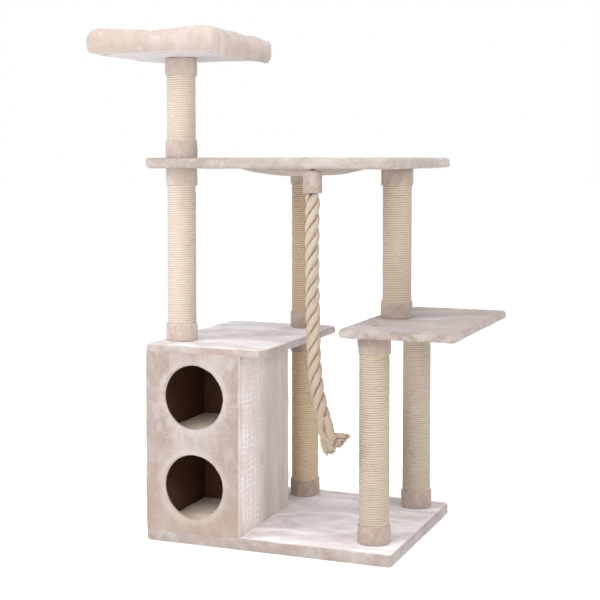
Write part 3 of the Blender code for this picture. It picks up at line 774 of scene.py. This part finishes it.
def doorway_panel(x0, x1, z0, z1, door_z, front):
    """Front plush round one doorway: rings from the rectangle's edge in to the rolled rim and through."""
    wide, tall = x1 - x0, z1 - z0
    across, up = round(wide / CONDO_STEP), round(tall / CONDO_STEP)
    border = [(x0 + wide * i / across, z0) for i in range(across)]
    border += [(x1, z0 + tall * i / up) for i in range(up)]
    border += [(x1 - wide * i / across, z1) for i in range(across)]
    border += [(x0, z1 - tall * i / up) for i in range(up)]
    border = np.array(border)
    centre = np.array((CORNER.x + DOOR_X, CORNER.z + door_z))
    away = unit(border - centre)

    def upright(spots, depth=0.0):
        return np.column_stack([spots[:, 0], np.full(len(spots), front + depth), spots[:, 1]])

    def circle(radius, depth):
        return upright(centre + away * radius, depth)

    start = centre + away * (DOOR_EDGE + DOOR_ROLL)
    rings = [upright(start + (border - start) * share) for share in np.linspace(1, 0, 9)]
    for a in np.radians((22.5, 45, 67.5, 90)):
        rings.append(circle(DOOR_EDGE + DOOR_ROLL * (1 - math.sin(a)), DOOR_ROLL * (1 - math.cos(a))))
    for radius, depth in ((-0.0001, 0.0085), (0.0001, 0.0118), (0.004, 0.0122)):
        rings.append(circle(DOOR_EDGE + radius, depth))
    return loft(rings)


def condo_plan(lo, hi):
    """The condo's outline from the right end of its front round the back to the left end."""
    r = CONDO_CORNER
    plan = [(hi.x - r, lo.y)]
    spots = ((hi.x - r, lo.y + r, 270), (hi.x - r, hi.y - r, 0), (lo.x + r, hi.y - r, 90),
             (lo.x + r, lo.y + r, 180))
    for k, (x, y, start) in enumerate(spots):
        for i in range(1 if k == 0 else 0, 5):
            angle = math.radians(start + 90 * i / 4)
            goal = (x + r * math.cos(angle), y + r * math.sin(angle))
            if i == 0:
                before = plan[-1]
                count = round(math.dist(before, goal) / CONDO_STEP)
                for j in range(1, count):
                    plan.append(tuple(a + (b - a) * j / count for a, b in zip(before, goal)))
            plan.append(goal)
    return plan


def merged(shapes):
    """Several shapes joined into one where their points meet."""
    bm = bmesh.new()
    for points, faces in shapes:
        verts = [bm.verts.new(p) for p in points]
        for face in faces:
            bm.faces.new([verts[i] for i in face])
    bmesh.ops.remove_doubles(bm, verts=bm.verts, dist=1e-5)
    mesh = bpy.data.meshes.new("merged")
    bm.to_mesh(mesh)
    bm.free()
    shape = points_of(mesh), [tuple(p.vertices) for p in mesh.polygons]
    bpy.data.meshes.remove(mesh)
    return shape


def condo_skin():
    """Plush round the condo's four sides in one piece, turned in at both doorways."""
    lo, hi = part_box("condo_cover")
    middle = CORNER.z + (LOWER_DOOR_Z + UPPER_DOOR_Z) / 2
    halves = ((lo.z, middle, LOWER_DOOR_Z), (middle, hi.z, UPPER_DOOR_Z))
    shapes = [doorway_panel(lo.x + CONDO_CORNER, hi.x - CONDO_CORNER, z0, z1, door, lo.y)
              for z0, z1, door in halves]
    levels = []
    for z0, z1, _ in halves:
        levels += list(np.linspace(z0, z1, round((z1 - z0) / CONDO_STEP) + 1))[:-1]
    levels.append(hi.z)
    plan = condo_plan(lo, hi)
    rows = [[(x, y, z) for x, y in plan] for z in levels]
    shapes.append((np.array(rows).reshape(-1, 3), quads(len(levels), len(plan), wrap=False)))
    obj = add_piece("condo_plush", merged(shapes), PLUSH_CONDO, ["condo_cover"])
    points = points_of(obj.data)
    ends = smoothstep(0.0, 0.01, np.minimum(points[:, 2] - lo.z, hi.z - points[:, 2]))
    rolled_in = ((points[:, 1] > lo.y + 0.006) & (points[:, 1] < lo.y + 0.03)
                 & (points[:, 0] > lo.x + 0.01) & (points[:, 0] < hi.x - 0.01))
    push_out(obj, np.where(rolled_in, 0.0, ends * nap_relief(points, 31) * 1.1))
    points, normals = points_of(obj.data), normals_of(obj.data)
    top, bottom = points[:, 2] > hi.z - 1e-4, points[:, 2] < lo.z + 1e-4
    points[:, 2] += PRESS * (top * 1.0 - bottom * 1.0)
    points[:, :2] -= 0.0014 * (top | bottom)[:, None] * normals[:, :2]
    move_points(obj.data, points)


def room_lining(name, bottom, seed):
    """Plush laid on a room's floor, resting at height bottom."""
    lo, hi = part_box("condo_shelf")
    steps, thick, gap = LINING_STEPS, LINING_THICK, LINING_GAP
    xs = np.linspace(lo.x + gap, hi.x - gap, steps)
    ys = np.linspace(lo.y + gap, hi.y - gap, steps)
    upper = np.array([(x, y, bottom + thick) for y in ys for x in xs])
    lower = upper - (0, 0, thick - gap)
    faces = quads(steps, steps, wrap=False)
    faces += [tuple(i + len(upper) for i in reversed(face)) for face in faces]
    last = steps - 1
    rim = list(range(steps)) + [r * steps + last for r in range(1, steps)]
    rim += [last * steps + c for c in range(last - 1, -1, -1)] + [r * steps for r in range(last - 1, 0, -1)]
    for a, b in zip(rim, rim[1:] + rim[:1]):
        faces.append((b, a, a + len(upper), b + len(upper)))
    obj = add_piece(name, (np.vstack([upper, lower]), faces), PLUSH_LINING)
    points = points_of(obj.data)
    top = points[:, 2] > bottom + thick / 2
    push_out(obj, np.where(top, np.clip(nap_relief(points, seed), -0.0008, 0.0012), 0.0))


# ---- hollow ----

def hollow_sheet():
    """The slung sheet of plush, seen from above as a bowl and from below as a bulge."""
    lo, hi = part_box("top_platform_cover")
    x, y = centre_of(lo, hi)
    shares, depths = zip((0.0, HOLLOW_BOTTOM), *reversed(HOLLOW_PROFILE))
    turn = whole_turn(120)
    spread = np.concatenate([np.linspace(0.985, 0.9, 14), np.linspace(0.87, 0.04, 30)])

    def surface(share, lower, wider):
        depth = np.interp(share, shares, depths) + lower
        share = share + wider
        return turned(x, y, turn, HOLLOW_HALF[0] * share, HOLLOW_HALF[1] * share, hi.z - depth)

    rings = [surface(share, HOLLOW_CLOTH, 0.01) for share in reversed(spread)]
    rings += [surface(share, 0.0, 0.0) for share in spread]
    obj = add_piece("hollow_plush", capped(rings), PLUSH_HOLLOW_SHADED, ["platform_hollow"])
    points = points_of(obj.data)
    around = np.arctan2((points[:, 1] - y) / HOLLOW_HALF[1], (points[:, 0] - x) / HOLLOW_HALF[0])
    share = np.hypot((points[:, 0] - x) / HOLLOW_HALF[0], (points[:, 1] - y) / HOLLOW_HALF[1])
    pulls = 0.0009 * np.sin(around * 23 + 2 * np.sin(around * 3)) * smoothstep(0.45, 0.8, share)
    slack = 0.0012 * wobble(points * (1, 1, 0), 0.09, 51)
    calm = 1 - smoothstep(0.93, 0.98, share)
    points[:, 2] += calm * (pulls + slack)
    move_points(obj.data, points)


# ---- bed ----

def bed_loop(lo, hi, inset):
    """A rounded rectangle inside the bed's outline, evenly enough spaced for a cloth mesh."""
    radii = [max(corner - inset, 0.012) for corner in BED_CORNERS]
    inner_lo = Vector((lo.x + inset, lo.y + inset, 0))
    inner_hi = Vector((hi.x - inset, hi.y - inset, 0))
    return rounded_outline(inner_lo, inner_hi, radii, step=0.02, corner_steps=6)[0]


def bed_cushion():
    """Bolster and pad in one: lofted, remeshed, blown up as cloth, then creased and slumped."""
    lo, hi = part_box("bed_nest")
    angle = whole_turn(160)
    middle = centre_of(lo, hi)
    rings = []
    for inset, z in BED_SECTION:
        plan = bed_loop(lo, hi, inset)
        own = np.arctan2(plan[:, 1] - middle[1], plan[:, 0] - middle[0]) % (2 * math.pi)
        order = np.argsort(own)
        own, plan = own[order], plan[order]
        own = np.concatenate([own - 2 * math.pi, own, own + 2 * math.pi])
        plan = np.vstack([plan] * 3)
        even = [np.interp(angle, own, plan[:, k]) for k in (0, 1)]
        rings.append(at_height(np.column_stack(even), lo.z + z))
    obj = add_piece("bed_cushion", capped(rings), PLUSH_BED, ["bed_nest"])
    remesh(obj, BED_VOXEL)
    inflate(obj, lo.z + BED_FOOT)
    subdivide(obj)
    shape_bed(obj, lo, hi)


def baked(obj):
    """A new mesh of the object as its modifiers make it."""
    graph = bpy.context.evaluated_depsgraph_get()
    mesh = bpy.data.meshes.new_from_object(obj.evaluated_get(graph))
    old = obj.data
    obj.modifiers.clear()
    obj.data = mesh
    bpy.data.meshes.remove(old)


def remesh(obj, voxel):
    modifier = obj.modifiers.new("remesh", 'REMESH')
    modifier.mode = 'VOXEL'
    modifier.voxel_size = voxel
    modifier.use_smooth_shade = True
    relax = obj.modifiers.new("relax", 'SMOOTH')
    relax.factor = 0.5
    relax.iterations = 4
    baked(obj)


def subdivide(obj):
    modifier = obj.modifiers.new("finer", 'SUBSURF')
    modifier.levels = 1
    modifier.render_levels = 1
    baked(obj)
    obj.data.shade_smooth()


def inflate(obj, floor):
    """Blow a closed mesh up with cloth pressure. What lies below floor is sewn down and stays."""
    before = points_of(obj.data)
    inner = before[:, 2] < floor
    group = obj.vertex_groups.new(name="sewn")
    group.add([int(i) for i in np.nonzero(inner)[0]], 1.0, 'REPLACE')
    cloth = obj.modifiers.new("cloth", 'CLOTH')
    cloth.settings.quality = 6
    cloth.settings.use_pressure = True
    cloth.settings.uniform_pressure_force = BED_PRESSURE
    cloth.settings.effector_weights.gravity = 0.0
    cloth.settings.vertex_group_mass = "sewn"
    cloth.point_cache.frame_start = 1
    cloth.point_cache.frame_end = BED_FRAMES
    scene = bpy.context.scene
    for number in range(1, BED_FRAMES + 1):
        scene.frame_set(number)
    baked(obj)
    scene.frame_set(1)
    moved = points_of(obj.data) - before
    far = np.linalg.norm(moved, axis=1)
    moved *= np.minimum(1.0, BED_SWELL / np.maximum(far, 1e-9))[:, None]
    move_points(obj.data, before + moved)


def shape_bed(obj, lo, hi):
    """Gathers at the corners, creases on the right, a dip in front, a raised left and a slumped right."""
    points = points_of(obj.data)
    x, y = centre_of(lo, hi)
    side_x, side_y = (points[:, 0] - x) / (hi.x - x), (points[:, 1] - y) / (hi.y - y)
    height = (points[:, 2] - lo.z) / (hi.z - lo.z)
    rim = smoothstep(0.55, 0.95, np.maximum(abs(side_x), abs(side_y)))
    around = np.arctan2(side_y, side_x)
    corner = smoothstep(0.3, 0.85, 1 - abs(abs(side_x) - abs(side_y)))
    gathers = np.sin(around * 38 + 1.6 * np.sin(around * 5)) * (0.35 + 0.65 * corner)
    belly = smoothstep(0.05, 0.35, height) * (1 - smoothstep(0.75, 1.0, height))
    right = smoothstep(0.2, 0.9, side_x)
    creases = np.sin(around * 86 + 3 * np.sin(around * 7)) * smoothstep(0.8, 0.97, side_x)
    amount = rim * belly * (gathers * (0.0004 + 0.0026 * right * corner) + 0.0012 * creases)
    amount += rim * 0.0006 * wobble(points * (1, 1, 0.35), 0.07, 61)
    amount += 0.0007 * wobble(points, 0.15, 62) + 0.0003 * wobble(points, 0.022, 63)
    push_out(obj, amount)
    points = points_of(obj.data)
    front = smoothstep(0.3, 0.9, -side_y)
    dip = 0.0105 * np.exp(-((side_x + 0.02) / 0.58) ** 2) * front
    raised = 0.006 * smoothstep(0.45, 0.95, -side_x) + 0.003 * smoothstep(0.6, 0.9, side_x) * front
    slump = 0.011 * smoothstep(0.55, 0.95, side_x) * smoothstep(-0.92, -0.45, side_y)
    points[:, 2] += smoothstep(0.35, 1.0, height) * (raised - dip - slump)
    points[:, 2] = np.maximum(points[:, 2], lo.z + 0.0006)
    droop = 0.02 * smoothstep(0.81, 0.97, side_x) + 0.005 * smoothstep(0.81, 0.97, -side_y)
    points[:, 2] -= droop * (1 - smoothstep(0.1, 0.6, height))
    move_points(obj.data, points)


def bed_underside():
    """The bed's board wrapped in plush, seen from below."""
    lo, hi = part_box("bed_board")
    plan, out = rounded_outline(lo, hi, (BOARD_CORNER,) * 4, step=0.012)
    middle = np.array(centre_of(lo, hi))
    edge = plan - out * BOARD_RIM
    rings = [at_height(middle + (edge - middle) * share, lo.z) for share in np.linspace(0.04, 1, 20)]
    rings += rolled_edge(edge, out, -BOARD_RIM, lo.z, (30, 60, 90))
    rings.append(at_height(plan, hi.z - 0.0005))
    obj = add_piece("bed_underside", capped(rings), PLUSH_BED, ["bed_board"])
    push_out(obj, np.clip(nap_relief(points_of(obj.data), 71), -0.001, 0.0006))


# ---- rope ----

def smooth_route(points, spacing):
    """Read a Catmull-Rom curve through the points at an even spacing."""
    points = np.array(points)
    padded = np.vstack([points[0], points, points[-1]])
    fine = []
    for i in range(len(points) - 1):
        a, b, c, d = padded[i:i + 4]
        for t in np.arange(0, 1, 0.05):
            fine.append(0.5 * (2 * b + (c - a) * t + (2 * a - 5 * b + 4 * c - d) * t * t
                               + (3 * b - a - 3 * c + d) * t ** 3))
    fine.append(points[-1])
    fine = np.array(fine)
    walked = np.concatenate([[0], np.cumsum(np.linalg.norm(np.diff(fine, axis=0), axis=1))])
    even = np.linspace(0, walked[-1], max(2, round(walked[-1] / spacing)) + 1)
    return np.column_stack([np.interp(even, walked, fine[:, k]) for k in range(3)]), even


def frames_along(path):
    """Two unit vectors across a path, carried along it without twist; first x second points forwards."""
    forwards = unit(np.gradient(path, axis=0))
    first = np.cross(forwards[0], (0.0, 1.0, 0.0))
    firsts = []
    for way in forwards:
        first = first - way * first.dot(way)
        first /= np.linalg.norm(first)
        firsts.append(first)
    firsts = np.array(firsts)
    return firsts, np.cross(forwards, firsts)


def strand(path, along, radii, phase=0.0, offset=0.0, sides=26, yarns=9, flat=1.0):
    """One strand wound round a path, ridged by its yarns, as points, faces and cord values."""
    first, second = frames_along(path)
    swing = phase + 2 * math.pi * along / ROPE_LAY
    centre = path + offset * (np.cos(swing)[:, None] * first + np.sin(swing)[:, None] * second)
    across_a, across_b = frames_along(centre)
    turn = whole_turn(sides)
    rings, cord = [], []
    for k, spot in enumerate(centre):
        ridge = 1 + 0.045 * np.cos(yarns * turn - 2 * math.pi * along[k] / 0.075)
        radius = radii[k] * ridge
        ring = spot + (radius * np.cos(turn))[:, None] * across_a[k]
        ring = ring + (radius * flat * np.sin(turn))[:, None] * across_b[k]
        rings.append(ring)
        cord.append(np.column_stack([np.full(sides, along[k]), turn / (2 * math.pi) * yarns,
                                     np.full(sides, phase)]))
    points, faces = capped(rings)
    cord = np.vstack([*cord, cord[0][:1], cord[-1][:1]])
    return points, faces, cord


def join_shapes(shapes):
    """Several (points, faces, cord) shapes as one."""
    points, faces, cords, count = [], [], [], 0
    for own_points, own_faces, cord in shapes:
        points.append(own_points)
        faces += [tuple(i + count for i in face) for face in own_faces]
        cords.append(cord)
        count += len(own_points)
    return np.vstack(points), faces, np.vstack(cords)


def add_corded(name, shapes, replaces, body, groove=None):
    points, faces, cord = join_shapes(shapes)
    obj = add_piece(name, (points, faces), ROPE_FIBRE, replaces, body)
    set_cord(obj.data, cord, np.zeros(len(points)) if groove is None else groove(points))
    return obj


def hanging_rope():
    """Three strands laid right-handed, from inside the sleeve down to the knot."""
    top = np.array(ROPE_ROUTE[0]) + (0, 0, 0.012)
    route = [here(*point) for point in (tuple(top), *ROPE_ROUTE)]
    path, along = smooth_route(route, 0.005)
    start = smoothstep(-0.004, 0.01, along)
    radii = STRAND_RADIUS * (0.35 + 0.65 * start) * (1 + 0.03 * np.sin(along * 70))
    shapes = [strand(path, along, radii, phase=k * 2 * math.pi / 3, offset=STRAND_OFFSET) for k in range(3)]

    def between_strands(points):
        """1 where a point lies close to the rope's middle, in the cleft between two strands."""
        nearest = np.argmin(np.linalg.norm(points[:, None, :] - path[None, ::2, :], axis=2), axis=1)
        away = np.linalg.norm(points - path[::2][nearest], axis=1)
        return 1 - smoothstep(0.62, 0.86, away / ROPE_RADIUS)

    rope = add_corded("rope_strands", shapes, ["rope"], "rope", between_strands)
    return rope, path, float(along[-1])


def fibres(rng, root, way, spread, length, count, spot):
    """Loose fibres that burst from a cut end, each a thin three-sided spike that bends a little."""
    way = np.array(way, float)
    way /= np.linalg.norm(way)
    shapes = []
    for _ in range(count):
        lean = way + rng.normal(scale=spread, size=3)
        lean /= np.linalg.norm(lean)
        start = np.array(root) + rng.normal(scale=spot * 0.6, size=3)
        bend = rng.normal(scale=0.0016, size=3)
        reach = length * rng.uniform(0.55, 1.0)
        spots = np.array([start, start + lean * reach * 0.5 + bend, start + lean * reach + bend * 2.2])
        across, other = frames_along(spots)
        turn = np.array((0, 2 * math.pi / 3, 4 * math.pi / 3))
        rings = []
        for k, size in enumerate((1.0, 0.9, 0.35)):
            round_it = np.cos(turn)[:, None] * across[k] + np.sin(turn)[:, None] * other[k]
            rings.append(spots[k] + FIBRE_RADIUS * size * round_it)
        points, faces = capped(rings)
        cord = np.tile((rng.uniform(0, 0.1), 0.5, 1.0), (len(points), 1))
        shapes.append((points, faces, cord))
    return shapes


def cut_tail(rng, root, ends, thick, count):
    """A cut end opened into yarns: they leave a root line close together and fan out to an end line."""
    root, ends = [np.array([here(*spot) for spot in pair]) for pair in (root, ends)]
    shapes = []
    for i in range(count):
        share = (i + 0.5) / count
        side = np.array((0.0, 0.0045 * (-1) ** i, 0.0)) + rng.normal(scale=0.0012, size=3)
        start = root[0] + (root[1] - root[0]) * share
        goal = ends[0] + (ends[1] - ends[0]) * share + side + rng.normal(scale=0.0012, size=3)
        bow = np.array((0.0, 0.0, 0.0015)) * rng.normal()
        spots = [start, (start * 2 + goal) / 3 + bow, (start + goal * 2) / 3 + bow, goal]
        path, along = smooth_route(spots, 0.004)
        radii = thick * rng.uniform(0.85, 1.15) * (1.0 + 0.25 * along / along[-1])
        shapes.append(strand(path, along, radii, phase=i * 1.7, sides=10, yarns=3))
        shapes += fibres(rng, path[-1], path[-1] - path[-2], 0.16, 0.0045, 16, spot=thick)
    return shapes


def rope_end():
    """Two strands side by side above a low crease, a stub below it and a tail fanned out to the right."""
    rng = np.random.default_rng(7)
    shapes = []
    for k, (spots, first, last, flat) in enumerate(KNOT_PARTS):
        path, along = smooth_route([here(*spot) for spot in spots], 0.004)
        radii = first + (last - first) * along / along[-1]
        shapes.append(strand(path, along, radii, phase=k, yarns=8, flat=flat))
        if k >= CUT_PARTS:
            shapes += fibres(rng, path[-1], path[-1] - path[-3], 0.2, 0.005, 110, spot=last * 0.7)
    shapes += cut_tail(rng, TAIL_ROOT, TAIL_ENDS, YARN_RADIUS, TAIL_YARNS)
    return add_corded("rope_end", shapes, ["rope_knot"], "rope")


def rope_sleeve():
    """Plush cuff round the rope's top, nearly square in plan."""
    lo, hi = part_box("rope_sleeve")
    x, y = centre_of(lo, hi)
    top = hi.z - 0.004
    turn = whole_turn(56)
    power = SLEEVE_SQUARE
    square = (abs(np.cos(turn)) ** power + abs(np.sin(turn)) ** power) ** (-1 / power)

    def ring(radius, z, squareness=1.0):
        reach = radius * (1 + (square - 1) * squareness)
        return turned(x, y, turn, reach, reach, z)

    size, roll = (hi.x - lo.x) / 2 * 0.965, SLEEVE_ROUND
    rings = [ring(size * share, top) for share in (0.05, 0.35, 0.6)]
    rings += [ring(size - roll * (1 - math.sin(a)), top - roll * (1 - math.cos(a)))
              for a in np.radians((30, 60, 90))]
    rings += [ring(size, z) for z in np.linspace(top - 0.01, lo.z + 0.004, 10)]
    rings += [ring(size - inset, lo.z + rise)
              for inset, rise in ((0.0012, 0.0012), (0.003, 0.0), (0.0045, 0.001))]
    rings += [ring(SLEEVE_BORE * share, lo.z + rise, 0.0)
              for share, rise in ((1.0, 0.003), (1.0, 0.012), (0.9, 0.016))]
    cuff = add_piece("rope_sleeve_plush", capped(rings), PLUSH_SLEEVE,
                     ["rope_sleeve"], "rope_sleeve")
    points = points_of(cuff.data)
    outside = np.hypot(points[:, 0] - x, points[:, 1] - y) > SLEEVE_BORE + 0.002
    lumps = 0.0004 * wobble(points, 0.022, 81) + 0.0003 * wobble(points, 0.05, 82)
    push_out(cuff, np.where(outside, lumps, 0.0))
    sewn_tab(x, y, top)


def sewn_tab(x, y, top):
    """The flat tab that holds the sleeve under the platform."""
    side = (-1, -0.5, 0, 0.5, 1)
    rings = []
    for height, half in ((-0.003, 0.0016), (0.0, 0.0016), (0.0024, 0.0016), (0.0036, 0.001)):
        plan = [(x + half, y + share * TAB_HALF) for share in side]
        plan += [(x - half, y + share * TAB_HALF) for share in reversed(side)]
        rings.append(at_height(np.array(plan), top + height))
    add_piece("sleeve_tab", capped(rings), PLUSH_SLEEVE, body="rope_sleeve")


# ---- bolt slits ----

def bolt_slit(name, x, y, z, angle):
    """A short cut in the plush over a bolt's head: puckered lips round a flat cap coloured dark as painted
    shade.
    """
    turn = whole_turn(32)
    rings = []
    for share, height in SLIT_PROFILE:
        grow = max(share - 1, 0) * SLIT_WIDE * 1.6
        px = (SLIT_HALF * min(share, 1) + grow) * np.cos(turn)
        py = (SLIT_WIDE / 2 * min(share, 1) + grow) * np.sin(turn)
        plan = np.column_stack([x + px * math.cos(angle) - py * math.sin(angle),
                                y + px * math.sin(angle) + py * math.cos(angle)])
        rings.append(at_height(plan, z + height))
    obj = add_piece(name, loft(rings, caps=(False, True)), PLUSH_BOARD)
    # painted shade: the cap inside the lips takes the darkened panel colour
    obj.data.materials.append(PANEL_DARKENED_AS_SHADE)
    gap = [share for share, _ in SLIT_PROFILE].index(1.0) * len(turn)
    for face in obj.data.polygons:
        face.material_index = int(min(face.vertices) >= gap)


def build_slits():
    for place, angle in (("side_platform_front", 0.1), ("side_platform_rear", -0.05),
                         ("top_platform_rear", 0.3), ("top_platform_right", 1.2)):
        board, node = place.rsplit("_", 1)[0], "bolt_" + place + "_post"
        bolt_slit(node + "_slit", *centre_of(*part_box(node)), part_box(board + "_cover")[1].z, angle)


# ---- CAD nodes that stay ----

def dress_cad_nodes():
    """Give every CAD node a procedural material; the pieces above hide those they replace."""
    for name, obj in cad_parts.items():
        finish = PLUSH_BOARD
        if name.startswith(("bolt_", "stud_")):
            finish = STEEL
        elif name.endswith("_tube"):
            finish = CARDBOARD
        elif name in ("condo_front", "condo_back", "condo_left", "condo_right", "condo_shelf"):
            # painted shade: the condo's panels take the darkened board colour
            finish = PANEL_DARKENED_AS_SHADE
        elif name.endswith("_board"):
            finish = CHIPBOARD
        for index in range(len(obj.material_slots)):
            obj.material_slots[index].material = finish


# ---- stage ----

def add_camera():
    data = bpy.data.cameras.new("camera")
    data.lens = CAMERA_LENS
    data.sensor_width = 36.0
    data.shift_y = CAMERA_SHIFT
    camera = bpy.data.objects.new("camera", data)
    camera.location = CAMERA_PLACE
    camera.rotation_euler = (math.pi / 2 - CAMERA_PITCH, 0.0, CAMERA_AZIMUTH)
    bpy.context.scene.collection.objects.link(camera)
    bpy.context.scene.camera = camera


def add_light(name, place, size, power, aim=(0.0, 0.0, 0.7), spread=180):
    data = bpy.data.lights.new(name, 'AREA')
    data.shape = 'SQUARE'
    data.size = size
    data.energy = power
    data.spread = math.radians(spread)
    lamp = bpy.data.objects.new(name, data)
    lamp.location = place
    lamp.rotation_euler = (Vector(aim) - Vector(place)).to_track_quat('-Z', 'Y').to_euler()
    lamp.visible_camera = False
    bpy.context.scene.collection.objects.link(lamp)


def build_stage():
    """A white sky and floor, four large soft lamps, and a weak fill in each room."""
    for name, place, size, power in STUDIO_LAMPS:
        add_light(name, place, size, power)
    for name, door_z, power in ROOM_LAMPS:
        place = here(DOOR_X, ROOM_LAMP_Y, door_z + DOOR_RADIUS + ROOM_LAMP_RISE)
        aim = here(DOOR_X, ROOM_AIM_Y, door_z - DOOR_RADIUS)
        add_light(name, place, ROOM_LAMP_SIZE, power, aim, ROOM_LAMP_SPREAD)
    world = bpy.data.worlds.new("studio")
    world.use_nodes = True
    tree = world.node_tree
    seen = tree.nodes.new("ShaderNodeLightPath").outputs["Is Camera Ray"]
    strength = tree.nodes.new("ShaderNodeMapRange")
    strength.inputs["To Min"].default_value = SKY_LIGHT
    strength.inputs["To Max"].default_value = 1.0
    tree.links.new(seen, strength.inputs["Value"])
    background = tree.nodes["Background"]
    background.inputs["Color"].default_value = (1.0, 1.0, 1.0, 1.0)
    tree.links.new(strength.outputs[0], background.inputs["Strength"])
    bpy.context.scene.world = world
    bpy.context.scene.view_settings.view_transform = 'Standard'
    floor_mesh = bpy.data.meshes.new("floor")
    corners = [(FLOOR_REACH * x, FLOOR_REACH * y, 0) for x, y in ((-1, -1), (1, -1), (1, 1), (-1, 1))]
    floor_mesh.from_pydata(corners, [], [(0, 1, 2, 3)])
    floor = bpy.data.objects.new("floor", floor_mesh)
    floor.location.z = CAD_BOX[0].z - 0.0005
    n = Nodes("white floor")
    floor_mesh.materials.append(n.finish((0.5, 0.5, 0.5, 1.0), 0.9, Specular_IOR_Level=0.0,
                                         Emission_Color=(1.0, 1.0, 1.0, 1.0), Emission_Strength=FLOOR_GLOW))
    bpy.context.scene.collection.objects.link(floor)


add_camera()
rope, rope_path, rope_length = hanging_rope()
knot = rope_end()
rope_sleeve()
dress_cad_nodes()
build_stage()
board_skin("base_cover", (0.012, 0.014, 0.016, 0.014), 11, PLUSH_BASE, hem=True)
board_skin("landing_cover", (0.012, 0.03, 0.018, 0.012), 14, PLUSH_LANDING)
board_skin("side_platform_cover", (0.014, 0.018, 0.016, 0.014), 17, PLUSH_BOARD)
board_skin("top_platform_cover", (0.014, 0.014, 0.014, 0.014), 20, PLUSH_TOP, oval=HOLLOW_HALF)
hollow_sheet()
condo_skin()
room_lining("upper_room_lining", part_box("condo_shelf")[1].z, 41)
room_lining("lower_room_lining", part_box("base_cover")[1].z + 0.0008, 44)
build_posts()
build_slits()
bed_underside()
bed_cushion()
